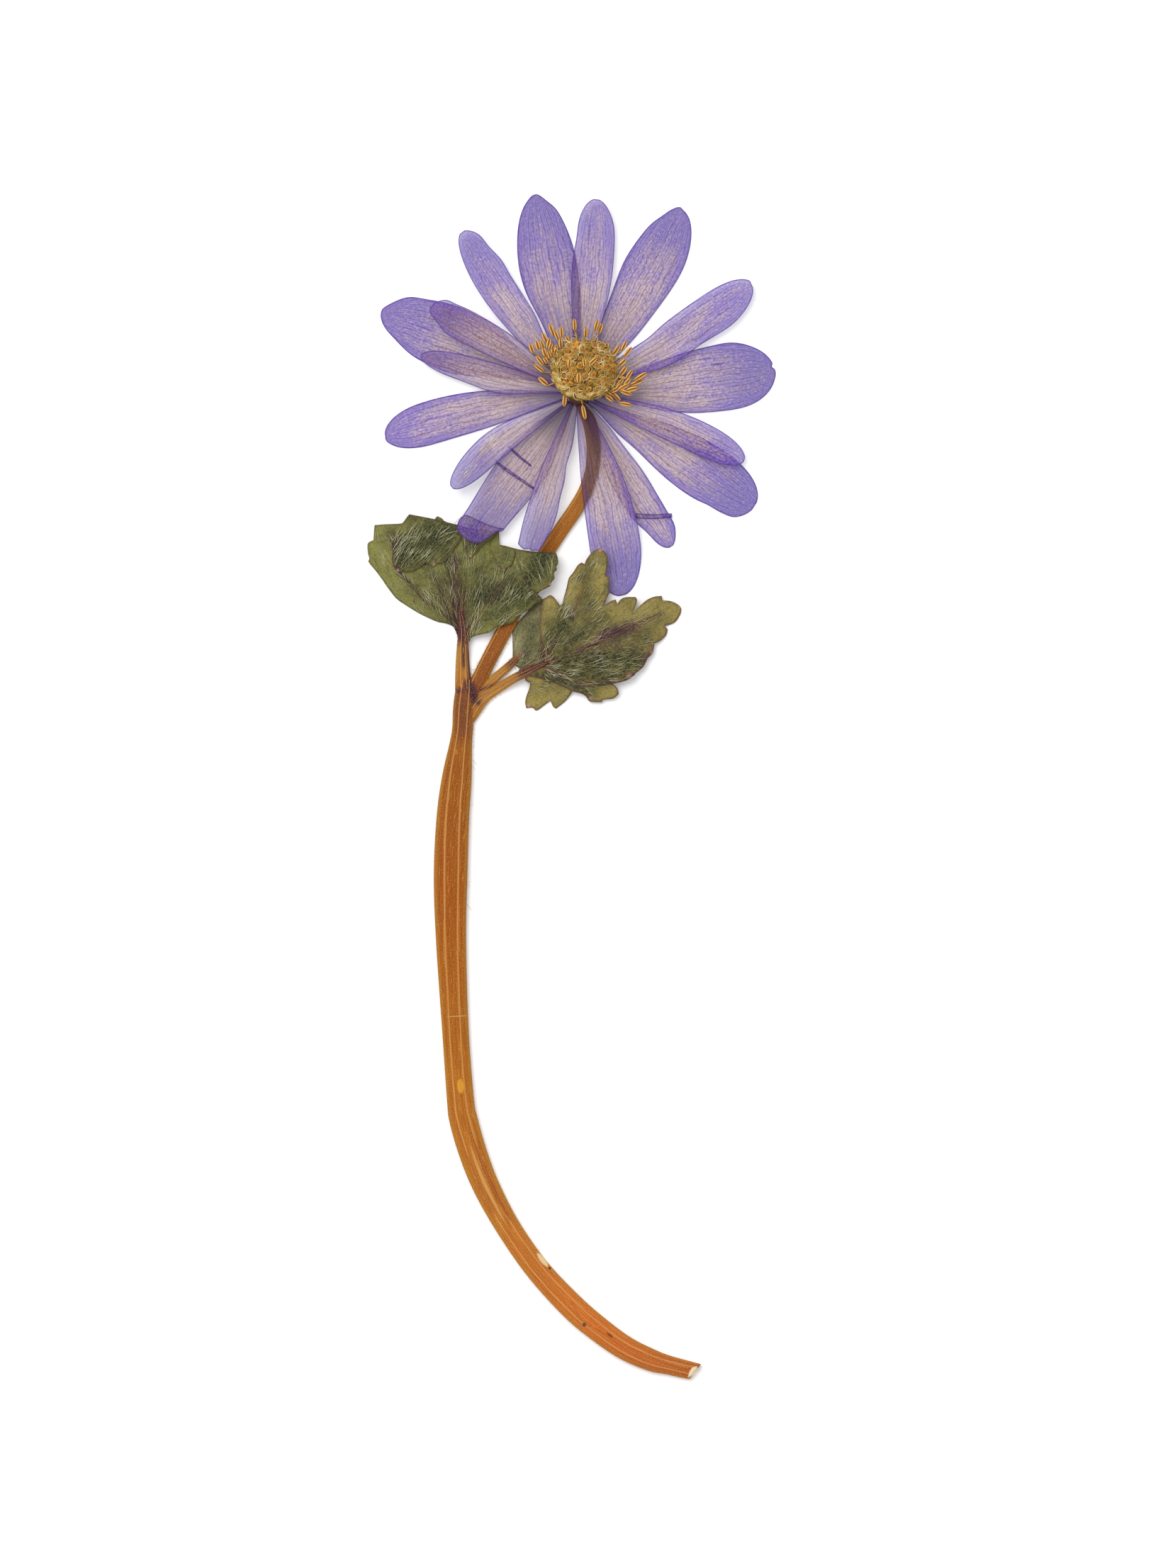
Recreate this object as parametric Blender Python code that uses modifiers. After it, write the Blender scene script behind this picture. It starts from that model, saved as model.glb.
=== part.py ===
"""Anemone flower, pressed flat and dried.

One flower on its cut scape lies on its back, as a pressed specimen does. +Y runs from the cut
end towards the flower, +Z from the surface that it lies on towards the eye, and +X to the right.
The origin is under the middle of the whole, on the surface. Sizes below are millimetres.

The grown pieces are the stalk with its forks and the small head that carries the flower, three
leaves of the whorl, seventeen tepals in overlapping layers, a ring of stamens and a dome of
carpels. Pieces that lie on each other keep a gap of 0.3 mm.
"""

import math
import random
from collections import namedtuple

import bmesh
import bpy
from mathutils import Vector

MM = 0.001

# Gap between pieces that touch, and thickness of a dried tepal or leaf
GAP = 0.3
BLADE = 0.6

# Points nearer than this, in metres, are one point
WELD = 0.000001

# The flower head: its centre, and how far out the tepals are rooted
HEAD = (0.7, 44.5)
HEAD_RADIUS = 1.3
HEAD_TOP_RADIUS = 1.15
HEAD_HEIGHT = 2.5
HEAD_SIDES = 16
ROOT_RADIUS = 1.65
ROOT_HALF_WIDTH = 0.4

# Heights of a tepal's underside at distances from the head's centre. The three even layers
# slope down by a tenth. The others climb over the leaf, the stalk or their neighbour.
LOW = ((0.0, 0.1), (24.0, 0.0))
MIDDLE = ((0.0, 1.0), (24.0, 0.9))
HIGH = ((0.0, 1.9), (24.0, 1.8))
UP_OVER_LEAF = ((0.0, 0.1), (4.0, 0.1), (20.3, 1.4))
UP_OVER_TEPAL = ((0.0, 1.0), (17.8, 2.1))
UP_OVER_BOTH = ((0.0, 1.2), (5.0, 1.2), (18.4, 2.5))
DOWN_FROM_STALK = ((0.0, 1.2), (8.8, 1.2), (14.2, 0.0), (24.0, 0.0))
DOWN_FROM_TOP = ((0.0, 2.15), (9.5, 2.15), (16.0, 0.95), (21.0, 0.0), (24.0, 0.0))

# heading in degrees from +X, length from the head's centre, full width, widest place as a part
# of the length, bow to the side, roundness of the tip, slimness of the waist, heights
Tepal = namedtuple("Tepal", "heading length width widest bow tip waist heights")
TEPALS = (
    Tepal(102.1, 22.8, 6.4, 0.62, 0.3, 2.1, 1.1, LOW),
    Tepal(84.5, 22.0, 4.7, 0.68, -0.3, 2.2, 1.1, MIDDLE),
    Tepal(60.2, 23.8, 6.3, 0.68, -0.5, 2.2, 1.1, LOW),
    Tepal(32.0, 22.9, 4.3, 0.70, -0.5, 3.0, 1.1, MIDDLE),
    Tepal(6.3, 22.4, 7.1, 0.68, -0.2, 2.4, 1.2, LOW),
    Tepal(-22.0, 20.3, 3.5, 0.68, 0.5, 2.4, 1.0, MIDDLE),
    Tepal(-32.4, 23.6, 6.4, 0.68, 0.2, 2.6, 1.7, LOW),
    Tepal(-58.8, 20.3, 3.9, 0.68, -0.3, 2.4, 1.15, DOWN_FROM_STALK),
    Tepal(-77.6, 23.4, 5.7, 0.72, 0.6, 2.3, 0.9, DOWN_FROM_TOP),
    Tepal(-107.0, 18.4, 3.5, 0.70, 0.1, 6.0, 1.0, UP_OVER_BOTH),
    Tepal(-128.2, 20.4, 5.3, 0.70, 0.35, 3.2, 1.1, UP_OVER_LEAF),
    Tepal(-143.0, 17.8, 3.4, 0.68, -0.7, 2.6, 1.0, UP_OVER_TEPAL),
    Tepal(-167.4, 22.3, 4.4, 0.72, -0.3, 2.6, 1.0, LOW),
    Tepal(158.2, 23.8, 7.1, 0.66, -0.5, 2.2, 2.0, LOW),
    Tepal(150.4, 19.2, 3.8, 0.74, -0.3, 2.4, 1.0, HIGH),
    Tepal(166.6, 18.2, 2.9, 0.62, 0.25, 2.4, 0.9, MIDDLE),
    Tepal(125.8, 22.4, 3.9, 0.66, 0.4, 2.2, 0.95, MIDDLE),
)
TEPAL_CELLS_ALONG = 12
TEPAL_CELLS_ACROSS = 4
TEPAL_END = 0.995
TEPAL_END_ROUND = 0.15

# Stalks lie flat on the surface: route, and at each route point the full width. A stalk is as
# high as HEIGHT_BASE plus HEIGHT_SLOPE of its width, and has ribs on its upper side. Its flat
# underside and its shoulder are parts of the half width and of the height.
HEIGHT_BASE = 0.35
HEIGHT_SLOPE = 0.3
RIB_DEPTH = 0.16
ARCH_STEPS = 8
UNDERSIDE = 0.86
SHOULDER = 0.35
SCAPE_ROUTE = ((-11.9, 12.0), (-12.1, 10.1), (-12.4, 5.7), (-13.0, 1.1), (-13.4, -3.5),
               (-13.7, -10.0), (-13.6, -17.3), (-13.1, -27.5), (-12.5, -35.1), (-11.2, -41.3),
               (-9.5, -45.1), (-7.1, -49.7), (-3.7, -54.3), (2.9, -61.0), (9.0, -64.6),
               (14.5, -66.1))
SCAPE_WIDTHS = (1.7, 2.7, 2.7, 3.3, 3.6, 3.7, 3.3, 2.9, 2.9, 3.0, 2.9, 2.7, 2.6, 2.6, 2.3, 1.8)
PEDICEL_ROUTE = ((-11.5, 10.2), (-10.6, 11.9), (-9.2, 14.7), (-7.3, 18.3), (-5.0, 22.6),
                 (-2.9, 26.4), (-1.5, 28.6), (0.3, 31.3), (1.6, 33.5), (2.5, 35.9), (2.8, 38.4),
                 (2.5, 40.4), (1.8, 41.8), (1.1, 42.9), (0.75, 44.0))
PEDICEL_WIDTHS = (1.6, 1.7, 1.76, 1.76, 1.76, 1.8, 1.84, 1.84, 1.84, 1.84, 1.84, 1.8, 1.5, 1.1, 1.1)
PETIOLE_LEFT_ROUTE = ((-12.0, 9.8), (-12.2, 11.6), (-12.3, 14.2), (-12.2, 16.7))
PETIOLE_LEFT_WIDTHS = (2.2, 1.9, 1.6, 1.4)
PETIOLE_RIGHT_ROUTE = ((-11.6, 9.9), (-10.4, 10.4), (-8.4, 11.3), (-6.0, 12.7), (-4.4, 13.35))
PETIOLE_RIGHT_WIDTHS = (1.5, 1.2, 1.05, 1.0, 0.9)
PETIOLE_BACK_ROUTE = ((-11.3, 10.4), (-10.0, 11.2), (-8.6, 12.5), (-7.0, 13.8), (-6.5, 14.15))
PETIOLE_BACK_WIDTHS = (1.2, 1.0, 0.9, 0.8, 0.8)

# Leaf outlines, each once round against the clock
LEAF_LEFT = ((-12.7, 17.0), (-11.6, 17.0), (-10.3, 17.2), (-8.4, 17.9), (-6.9, 18.6),
             (-6.5, 19.2), (-4.8, 20.4), (-3.8, 21.6), (-3.8, 22.0), (-2.4, 22.9), (-1.8, 24.2),
             (-1.5, 25.4), (-1.9, 26.5), (-5.5, 26.6), (-8.1, 27.2), (-8.4, 29.0),
             (-13.2, 29.6), (-15.0, 30.6), (-18.3, 30.8), (-19.2, 29.9), (-22.3, 29.6),
             (-22.4, 28.0), (-23.0, 27.7), (-23.0, 26.4), (-22.3, 24.7), (-21.3, 23.0),
             (-19.9, 21.6), (-18.4, 20.4), (-15.8, 19.0), (-13.4, 18.4), (-13.0, 17.5))
# Its lobes are folded back over it and lie double along the upper side
LEAF_LEFT_FOLD = ((-19.6, 24.4), (-18.0, 24.6), (-15.8, 25.0), (-12.9, 25.0), (-11.5, 26.0),
                  (-10.3, 25.7), (-7.7, 24.4), (-7.2, 25.0), (-5.7, 23.8), (-4.2, 22.4),
                  (-3.5, 22.5), (-2.5, 23.2), (-2.0, 24.2), (-1.8, 25.4), (-2.2, 26.3),
                  (-5.5, 26.4), (-8.2, 27.0), (-8.6, 28.8), (-13.2, 29.4), (-15.1, 30.4),
                  (-18.2, 30.6), (-19.2, 29.7), (-20.1, 29.4), (-20.2, 28.1), (-20.1, 25.7))
FOLD_RISE = 0.3
LEAF_RIGHT = ((-5.2, 11.9), (-4.9, 12.15), (-3.95, 12.75), (-4.35, 14.05), (-3.5, 15.1), (-3.1, 20.6),
              (-2.9, 21.2), (-2.4, 21.7), (-1.7, 21.0), (-1.3, 20.5), (-0.6, 22.8), (0.3, 24.7),
              (1.1, 25.4), (1.7, 25.7), (2.7, 26.6), (3.3, 26.9), (4.1, 25.7), (4.0, 24.0),
              (4.3, 23.5), (4.2, 21.8), (3.9, 20.9), (4.9, 21.2), (5.2, 20.6), (6.0, 21.4),
              (7.2, 21.4), (7.1, 19.9), (8.2, 20.6), (10.1, 21.6), (10.2, 21.1), (11.8, 21.1),
              (12.4, 20.5), (12.0, 19.5), (10.8, 18.5), (10.6, 18.0), (10.8, 17.5), (10.3, 16.6),
              (9.1, 16.2), (9.3, 15.1), (8.3, 13.7), (6.5, 12.5), (4.7, 11.9), (4.8, 11.5),
              (5.4, 10.6), (4.6, 9.9), (3.4, 9.7), (2.1, 9.7), (1.2, 10.3), (0.1, 10.8),
              (-0.7, 9.9), (-1.7, 8.9), (-2.1, 8.9), (-2.4, 9.6), (-3.8, 8.8), (-4.5, 8.9),
              (-5.1, 9.1), (-5.1, 10.8))
LEAF_BACK = ((-6.0, 13.9), (-2.6, 14.4), (-2.6, 21.4), (-4.2, 21.4), (-5.55, 19.1),
             (-6.1, 18.05), (-6.45, 17.2), (-6.5, 14.7))
LEAF_CELL = 1.8
LEAF_MARGIN = 1.0
CUTTER_HEIGHT = 20.0

# The left leaf climbs over the pedicel along a ramp beside it
OVER_STALK = 1.25
STALK_RAMP = 4.5
# The right leaf lies over the back leaf. It comes down along ramps to its outer lobes, at +X,
# and its lower lobes, at -Y, and its upper lobe climbs over the tip of a tepal.
OVER_LEAF = 0.95
OUTER_LOBES = 11.5
OUTER_RAMP = 4.0
LOWER_LOBES = 9.5
LOWER_RAMP = 3.0
OVER_TEPAL = 0.75
UPPER_LOBE = (5.0, 22.2)
UPPER_LOBE_SIDE = 0.8
UPPER_RAMP = 4.6

# The dome of carpels is pressed over towards the top tepals, off the head's centre. Under it
# lies the disc that the stamens grow from.
DOME_CENTRE = (1.4, 47.1)
DISC_RADII = (3.4, 3.15)
DISC_BOTTOM = HEAD_HEIGHT + GAP
DISC_HEIGHT = 0.4
DISC_SIDES = 28
DOME_RADII = (3.5, 3.25, 1.6)
DOME_BOTTOM = DISC_BOTTOM + DISC_HEIGHT + GAP
CARPELS = 64
CARPEL_LENGTH = 1.0
CARPEL_RADIUS = 0.42
CARPEL_SINK = 0.42
CARPEL_LOWEST = math.radians(22)
CARPEL_LEAN = 0.6

# The stamens stand out beyond the dome in three rows, all but a few on the side away from the
# stalk. Their reach is from the disc's rim to the foot of the anther.
STAMENS = 54
STAMEN_FIRST = math.radians(-46)
STAMEN_LAST = math.radians(222)
STAMEN_REACH = (0.35, 1.15, 2.1)
STAMEN_LIFT = (0.5, 0.42, 0.3)
FILAMENT_WIDTH = 0.26
FILAMENT_ROOT = 0.6
ANTHER_LENGTH = 1.45
ANTHER_WIDTH = 0.52
ANTHER_SIDES = 5
ANTHER_OVERLAP = 0.2

# The picture's colours, as sRGB hex, and roughness
COLOURS = {
    "tepal": ("9882BC", 0.62),
    "stalk": ("A6642C", 0.6),
    "leaf_left": ("66683F", 0.8),
    "leaf_right": ("85784A", 0.8),
    "leaf_back": ("736E4D", 0.8),
    "anther": ("C89A4E", 0.6),
    "carpel": ("B29251", 0.75),
}


def linear(channel):
    """One sRGB channel from 0 to 1 as linear light."""
    if channel <= 0.04045:
        return channel / 12.92
    return ((channel + 0.055) / 1.055) ** 2.4


def make_material(name):
    """A plain Principled material in the colour listed under that name."""
    hex_colour, roughness = COLOURS[name]
    rgb = [linear(int(hex_colour[i:i + 2], 16) / 255) for i in (0, 2, 4)]
    material = bpy.data.materials.new(name)
    material.use_nodes = True
    shader = material.node_tree.nodes["Principled BSDF"]
    shader.inputs["Base Color"].default_value = (*rgb, 1)
    shader.inputs["Roughness"].default_value = roughness
    shader.inputs["Metallic"].default_value = 0
    return material


def new_object(name, mesh, material=None):
    """An object for the mesh, in the scene's own collection until it is filed."""
    obj = bpy.data.objects.new(name, mesh)
    bpy.context.scene.collection.objects.link(obj)
    if material:
        mesh.materials.append(material)
    return obj


def file_in(obj, collection):
    """Keep an object in one collection only."""
    for owner in list(obj.users_collection):
        owner.objects.unlink(obj)
    collection.objects.link(obj)


def take_active(name):
    """The object that an operator has just added, under its own name."""
    obj = bpy.context.active_object
    obj.name = name
    obj.data.name = name
    return obj


def settle(obj):
    """Apply an object's modifiers and weld what they left loose."""
    graph = bpy.context.evaluated_depsgraph_get()
    mesh = bpy.data.meshes.new_from_object(obj.evaluated_get(graph))
    bm = bmesh.new()
    bm.from_mesh(mesh)
    bmesh.ops.remove_doubles(bm, verts=bm.verts, dist=WELD)
    bm.to_mesh(mesh)
    bm.free()
    settled = new_object(obj.name + "_settled", mesh)
    settled.matrix_world = obj.matrix_world
    bpy.data.objects.remove(obj)
    return settled


def boolean(obj, operation, other=None, collection=None, solver="EXACT"):
    """Add a Boolean modifier with one object or a whole collection."""
    modifier = obj.modifiers.new(operation.lower(), "BOOLEAN")
    modifier.operation = operation
    modifier.solver = solver
    if collection:
        modifier.operand_type = "COLLECTION"
        modifier.collection = collection
    else:
        modifier.object = other
    return modifier


def fuse(name, pieces, material, solver="EXACT"):
    """Join the pieces into one body and give it its name and material."""
    first, *rest = pieces
    group = bpy.data.collections.new(name + "_group")
    bpy.context.scene.collection.children.link(group)
    for piece in rest:
        file_in(piece, group)
    boolean(first, "UNION", collection=group, solver=solver)
    fused = settle(first)
    for piece in list(group.objects):
        bpy.data.objects.remove(piece)
    bpy.data.collections.remove(group)
    fused.name = name
    fused.data.name = name
    fused.data.materials.clear()
    fused.data.materials.append(material)
    return fused


def shade_round(obj):
    """Smooth shading, sharp only at real edges."""
    obj.data.shade_smooth()
    obj.data.set_sharp_from_angle(angle=math.radians(50))


def between(steps, x):
    """Height at x along a list of (distance, height) steps."""
    for (x0, z0), (x1, z1) in zip(steps[:-1], steps[1:]):
        if x <= x1:
            part = max(0.0, (x - x0) / (x1 - x0))
            return z0 + (z1 - z0) * part
    return steps[-1][1]


def ease(part):
    """A soft step from 0 to 1."""
    part = min(1.0, max(0.0, part))
    return part * part * (3 - 2 * part)


def smooth_route(points, per_span):
    """Read a smooth curve through hand-set points (Catmull-Rom), any number of values each."""
    padded = [points[0], *points, points[-1]]
    route = []
    for p0, p1, p2, p3 in zip(padded, padded[1:], padded[2:], padded[3:]):
        for step in range(per_span):
            t = step / per_span
            route.append([
                0.5 * (2 * b + (c - a) * t + (2 * a - 5 * b + 4 * c - d) * t ** 2
                       + (3 * b - a - 3 * c + d) * t ** 3)
                for a, b, c, d in zip(p0, p1, p2, p3)
            ])
    route.append(list(points[-1]))
    return route


def tepal_half_width(tepal, part):
    """Half the width at a part of the length: a waist, the widest place, a round tip."""
    widest = tepal.width / 2
    if part <= tepal.widest:
        rise = math.sin(math.pi / 2 * part / tepal.widest) ** tepal.waist
        return ROOT_HALF_WIDTH + (widest - ROOT_HALF_WIDTH) * rise
    beyond = (part - tepal.widest) / (1 - tepal.widest)
    return widest * math.sqrt(1 - beyond ** tepal.tip)


def make_tepal(number, tepal, material):
    """A blade along its own +X, turned to its heading about the head's centre."""
    bpy.ops.mesh.primitive_grid_add(
        x_subdivisions=TEPAL_CELLS_ALONG, y_subdivisions=TEPAL_CELLS_ACROSS, size=2)
    obj = take_active("tepal_%02d" % number)
    mesh = obj.data
    for vertex in mesh.vertices:
        side = vertex.co.y
        part = TEPAL_END * (1 - (1 - (vertex.co.x + 1) / 2) ** 1.5)
        along = ROOT_RADIUS + (tepal.length - ROOT_RADIUS) * part
        along -= TEPAL_END_ROUND * side ** 2 * part ** 6
        across = tepal.bow * math.sin(math.pi * part) + side * tepal_half_width(tepal, part)
        vertex.co = (along * MM, across * MM, between(tepal.heights, along) * MM)
    bm = bmesh.new()
    bm.from_mesh(mesh)
    bmesh.ops.triangulate(bm, faces=bm.faces)
    bm.to_mesh(mesh)
    bm.free()
    obj.location = (HEAD[0] * MM, HEAD[1] * MM, 0)
    obj.rotation_euler = (0, 0, math.radians(tepal.heading))
    thickness = obj.modifiers.new("thickness", "SOLIDIFY")
    thickness.thickness = BLADE * MM
    thickness.offset = 1
    mesh.materials.append(material)
    return obj


def stalk_section(width):
    """Half a flat-bottomed section with three ribs, as (across, up) going over the top."""
    height = HEIGHT_BASE + HEIGHT_SLOPE * width
    half = width / 2
    shoulder = SHOULDER * height
    crown = height - RIB_DEPTH - shoulder
    section = [(half * UNDERSIDE, 0.0), (half, shoulder)]
    for step in range(1, ARCH_STEPS):
        angle = math.pi * step / ARCH_STEPS
        arch = math.sqrt(math.sin(angle))
        rib = RIB_DEPTH * arch * (1 if step % 2 else -1)
        section.append((half * math.cos(angle), shoulder + crown * arch + rib))
    section += [(-half, shoulder), (-half * UNDERSIDE, 0.0)]
    return section


def make_stalk(name, route, widths, per_span=1):
    """A loft of flat-bottomed sections along a route on the surface."""
    bm = bmesh.new()
    stations = smooth_route([(*point, width) for point, width in zip(route, widths)], per_span)
    rings = []
    for index, (x, y, width) in enumerate(stations):
        before = stations[max(0, index - 1)]
        after = stations[min(len(stations) - 1, index + 1)]
        ahead = Vector((after[0] - before[0], after[1] - before[1], 0)).normalized()
        right = Vector((ahead.y, -ahead.x, 0))
        ring = []
        for across, up in stalk_section(width):
            place = Vector((x, y, up)) + right * across
            ring.append(bm.verts.new(place * MM))
        rings.append(ring)
    for ring, following in zip(rings, rings[1:]):
        count = len(ring)
        for i in range(count):
            j = (i + 1) % count
            bm.faces.new((ring[i], ring[j], following[j], following[i]))
    bm.faces.new(rings[0])
    bm.faces.new(rings[-1])
    bmesh.ops.recalc_face_normals(bm, faces=bm.faces)
    bmesh.ops.triangulate(bm, faces=bm.faces)
    mesh = bpy.data.meshes.new(name)
    bm.to_mesh(mesh)
    bm.free()
    return new_object(name, mesh)


def make_stem(material):
    """The scape, its three petioles, the pedicel and the head that carries the flower."""
    pieces = [
        make_stalk("scape", SCAPE_ROUTE, SCAPE_WIDTHS, per_span=2),
        make_stalk("pedicel", PEDICEL_ROUTE, PEDICEL_WIDTHS),
        make_stalk("petiole_left", PETIOLE_LEFT_ROUTE, PETIOLE_LEFT_WIDTHS),
        make_stalk("petiole_right", PETIOLE_RIGHT_ROUTE, PETIOLE_RIGHT_WIDTHS),
        make_stalk("petiole_back", PETIOLE_BACK_ROUTE, PETIOLE_BACK_WIDTHS),
    ]
    bpy.ops.mesh.primitive_cone_add(
        vertices=HEAD_SIDES, radius1=HEAD_RADIUS * MM, radius2=HEAD_TOP_RADIUS * MM,
        depth=HEAD_HEIGHT * MM, location=(HEAD[0] * MM, HEAD[1] * MM, HEAD_HEIGHT / 2 * MM))
    pieces.append(take_active("receptacle"))
    return fuse("stem", pieces, material, solver="MANIFOLD")


def outline_cutter(name, outline):
    """An upright block with a leaf's outline, taller than any leaf."""
    curve = bpy.data.curves.new(name, "CURVE")
    curve.dimensions = "2D"
    curve.fill_mode = "BOTH"
    curve.extrude = CUTTER_HEIGHT / 2 * MM
    spline = curve.splines.new("POLY")
    spline.points.add(len(outline) - 1)
    for point, (x, y) in zip(spline.points, outline):
        point.co = (x * MM, y * MM, 0, 1)
    spline.use_cyclic_u = True
    drawn = bpy.data.objects.new(name, curve)
    bpy.context.scene.collection.objects.link(drawn)
    return settle(drawn)


def make_blade(name, outline, height, lift=0.0):
    """A thin sheet whose underside follows a height formula, cut to an outline."""
    xs = [x for x, y in outline]
    ys = [y for x, y in outline]
    middle = ((min(xs) + max(xs)) / 2, (min(ys) + max(ys)) / 2)
    width = max(xs) - min(xs) + 2 * LEAF_MARGIN
    depth = max(ys) - min(ys) + 2 * LEAF_MARGIN
    bpy.ops.mesh.primitive_grid_add(
        x_subdivisions=round(width / LEAF_CELL), y_subdivisions=round(depth / LEAF_CELL), size=1)
    sheet = take_active(name)
    for vertex in sheet.data.vertices:
        x = middle[0] + vertex.co.x * width
        y = middle[1] + vertex.co.y * depth
        vertex.co = (x * MM, y * MM, (height(x, y) + lift) * MM)
    bm = bmesh.new()
    bm.from_mesh(sheet.data)
    bmesh.ops.triangulate(bm, faces=bm.faces)
    bm.to_mesh(sheet.data)
    bm.free()
    thickness = sheet.modifiers.new("thickness", "SOLIDIFY")
    thickness.thickness = BLADE * MM
    thickness.offset = 1
    cutter = outline_cutter(name + "_outline", outline)
    boolean(sheet, "INTERSECT", other=cutter)
    blade = settle(sheet)
    bpy.data.objects.remove(cutter)
    return blade


def left_leaf_height(x, y):
    """Flat on the surface at the left, and up over the pedicel that passes under it."""
    stalk_side = [
        (route_y, route_x - 0.55 * width - GAP)
        for (route_x, route_y), width in zip(PEDICEL_ROUTE, PEDICEL_WIDTHS)
    ]
    return OVER_STALK * ease(1 - (between(stalk_side, y) - x) / STALK_RAMP)


def right_leaf_height(x, y):
    """Up over the back leaf, down at the outer lobes, up over a tepal at the upper lobe."""
    base = OVER_LEAF * ease((OUTER_LOBES - x) / OUTER_RAMP)
    base *= ease((y - LOWER_LOBES) / LOWER_RAMP)
    climb = min(1.0, max(0.0, (y - UPPER_LOBE[1]) / UPPER_RAMP))
    return base + OVER_TEPAL * climb * ease((UPPER_LOBE[0] - x) / UPPER_LOBE_SIDE)


def back_leaf_height(x, y):
    """Flat on the surface."""
    return 0.0


def make_leaves(left_material, right_material, back_material):
    """Three leaves of the whorl, each cut from a thin sheet."""
    left = fuse("leaf_left", [
        make_blade("left_blade", LEAF_LEFT, left_leaf_height),
        make_blade("left_fold", LEAF_LEFT_FOLD, left_leaf_height, FOLD_RISE),
    ], left_material)
    right = make_blade("leaf_right", LEAF_RIGHT, right_leaf_height)
    right.name = "leaf_right"
    right.data.materials.append(right_material)
    back = make_blade("leaf_back", LEAF_BACK, back_leaf_height)
    back.name = "leaf_back"
    back.data.materials.append(back_material)
    return [left, right, back]


def make_carpels(material):
    """A low dome, closely set with beaked carpels along a spiral."""
    rx, ry, rz = DOME_RADII
    bpy.ops.mesh.primitive_uv_sphere_add(segments=16, ring_count=8, radius=1)
    dome = take_active("dome")
    bm = bmesh.new()
    bm.from_mesh(dome.data)
    cut = bmesh.ops.bisect_plane(
        bm, geom=bm.verts[:] + bm.edges[:] + bm.faces[:], plane_co=(0, 0, 0),
        plane_no=(0, 0, -1), clear_outer=True)
    rim = [item for item in cut["geom_cut"] if isinstance(item, bmesh.types.BMEdge)]
    bmesh.ops.contextual_create(bm, geom=rim)
    bmesh.ops.scale(bm, verts=bm.verts, vec=(rx * MM, ry * MM, rz * MM))
    bmesh.ops.recalc_face_normals(bm, faces=bm.faces)
    bm.to_mesh(dome.data)
    bm.free()
    dome.location = (DOME_CENTRE[0] * MM, DOME_CENTRE[1] * MM, DOME_BOTTOM * MM)
    pieces = [dome]
    turn = math.pi * (3 - math.sqrt(5))
    lowest = math.sin(CARPEL_LOWEST)
    for index in range(CARPELS):
        up = 1 - (1 - lowest) * (index + 0.5) / CARPELS
        flat = math.sqrt(1 - up * up)
        angle = index * turn
        foot = Vector((rx * flat * math.cos(angle), ry * flat * math.sin(angle), rz * up))
        outward = Vector((foot.x / rx ** 2, foot.y / ry ** 2, foot.z / rz ** 2)).normalized()
        outward = (outward + Vector((0, 0, CARPEL_LEAN))).normalized()
        bpy.ops.mesh.primitive_cone_add(
            vertices=4, radius1=CARPEL_RADIUS * MM, radius2=0, depth=CARPEL_LENGTH * MM)
        carpel = take_active("carpel")
        carpel.rotation_mode = "QUATERNION"
        carpel.rotation_quaternion = outward.to_track_quat("Z", "Y")
        place = foot + outward * (CARPEL_LENGTH / 2 - CARPEL_SINK)
        carpel.location = Vector(dome.location) + place * MM
        pieces.append(carpel)
    return fuse("carpels", pieces, material, solver="MANIFOLD")


def make_stamens(material):
    """A flat disc under the dome with anthers on thin filaments standing out of its rim."""
    draw = random.Random(7)
    bpy.ops.mesh.primitive_cylinder_add(vertices=DISC_SIDES, radius=1, depth=1)
    disc = take_active("disc")
    disc.scale = (DISC_RADII[0] * MM, DISC_RADII[1] * MM, DISC_HEIGHT * MM)
    disc_middle = DISC_BOTTOM + DISC_HEIGHT / 2
    disc.location = (DOME_CENTRE[0] * MM, DOME_CENTRE[1] * MM, disc_middle * MM)
    pieces = [disc]
    for index in range(STAMENS):
        angle = STAMEN_FIRST + (STAMEN_LAST - STAMEN_FIRST) * (index + 0.5) / STAMENS
        row = index % len(STAMEN_REACH)
        heading = angle + draw.uniform(-0.12, 0.12)
        reach = STAMEN_REACH[row] + draw.uniform(0.0, 0.4) * math.cos(angle / 2)
        ahead = Vector((math.cos(heading), math.sin(heading), 0))
        foot = Vector((DISC_RADII[0] * math.cos(angle), DISC_RADII[1] * math.sin(angle), 0))
        foot += Vector((*DOME_CENTRE, disc_middle)) - ahead * FILAMENT_ROOT
        rise = Vector((0, 0, DISC_BOTTOM + STAMEN_LIFT[row] - disc_middle))
        end = foot + ahead * (FILAMENT_ROOT + reach + ANTHER_OVERLAP) + rise
        bpy.ops.mesh.primitive_cylinder_add(
            vertices=4, radius=FILAMENT_WIDTH / 2 * MM, depth=(end - foot).length * MM)
        filament = take_active("filament")
        filament.rotation_mode = "QUATERNION"
        filament.rotation_quaternion = (end - foot).to_track_quat("Z", "Y")
        filament.location = (foot + end) / 2 * MM
        bpy.ops.mesh.primitive_uv_sphere_add(segments=ANTHER_SIDES, ring_count=4, radius=0.5)
        anther = take_active("anther")
        anther.scale = (ANTHER_WIDTH * MM, ANTHER_WIDTH * MM, ANTHER_LENGTH * MM)
        anther.rotation_euler = (0, math.pi / 2, heading)
        anther.location = (end + ahead * (ANTHER_LENGTH / 2 - ANTHER_OVERLAP)) * MM
        pieces += [filament, anther]
    return fuse("stamens", pieces, material, solver="MANIFOLD")


for old in list(bpy.data.objects):
    bpy.data.objects.remove(old)

flower = bpy.data.collections.new("anemone_flower")
bpy.context.scene.collection.children.link(flower)

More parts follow.
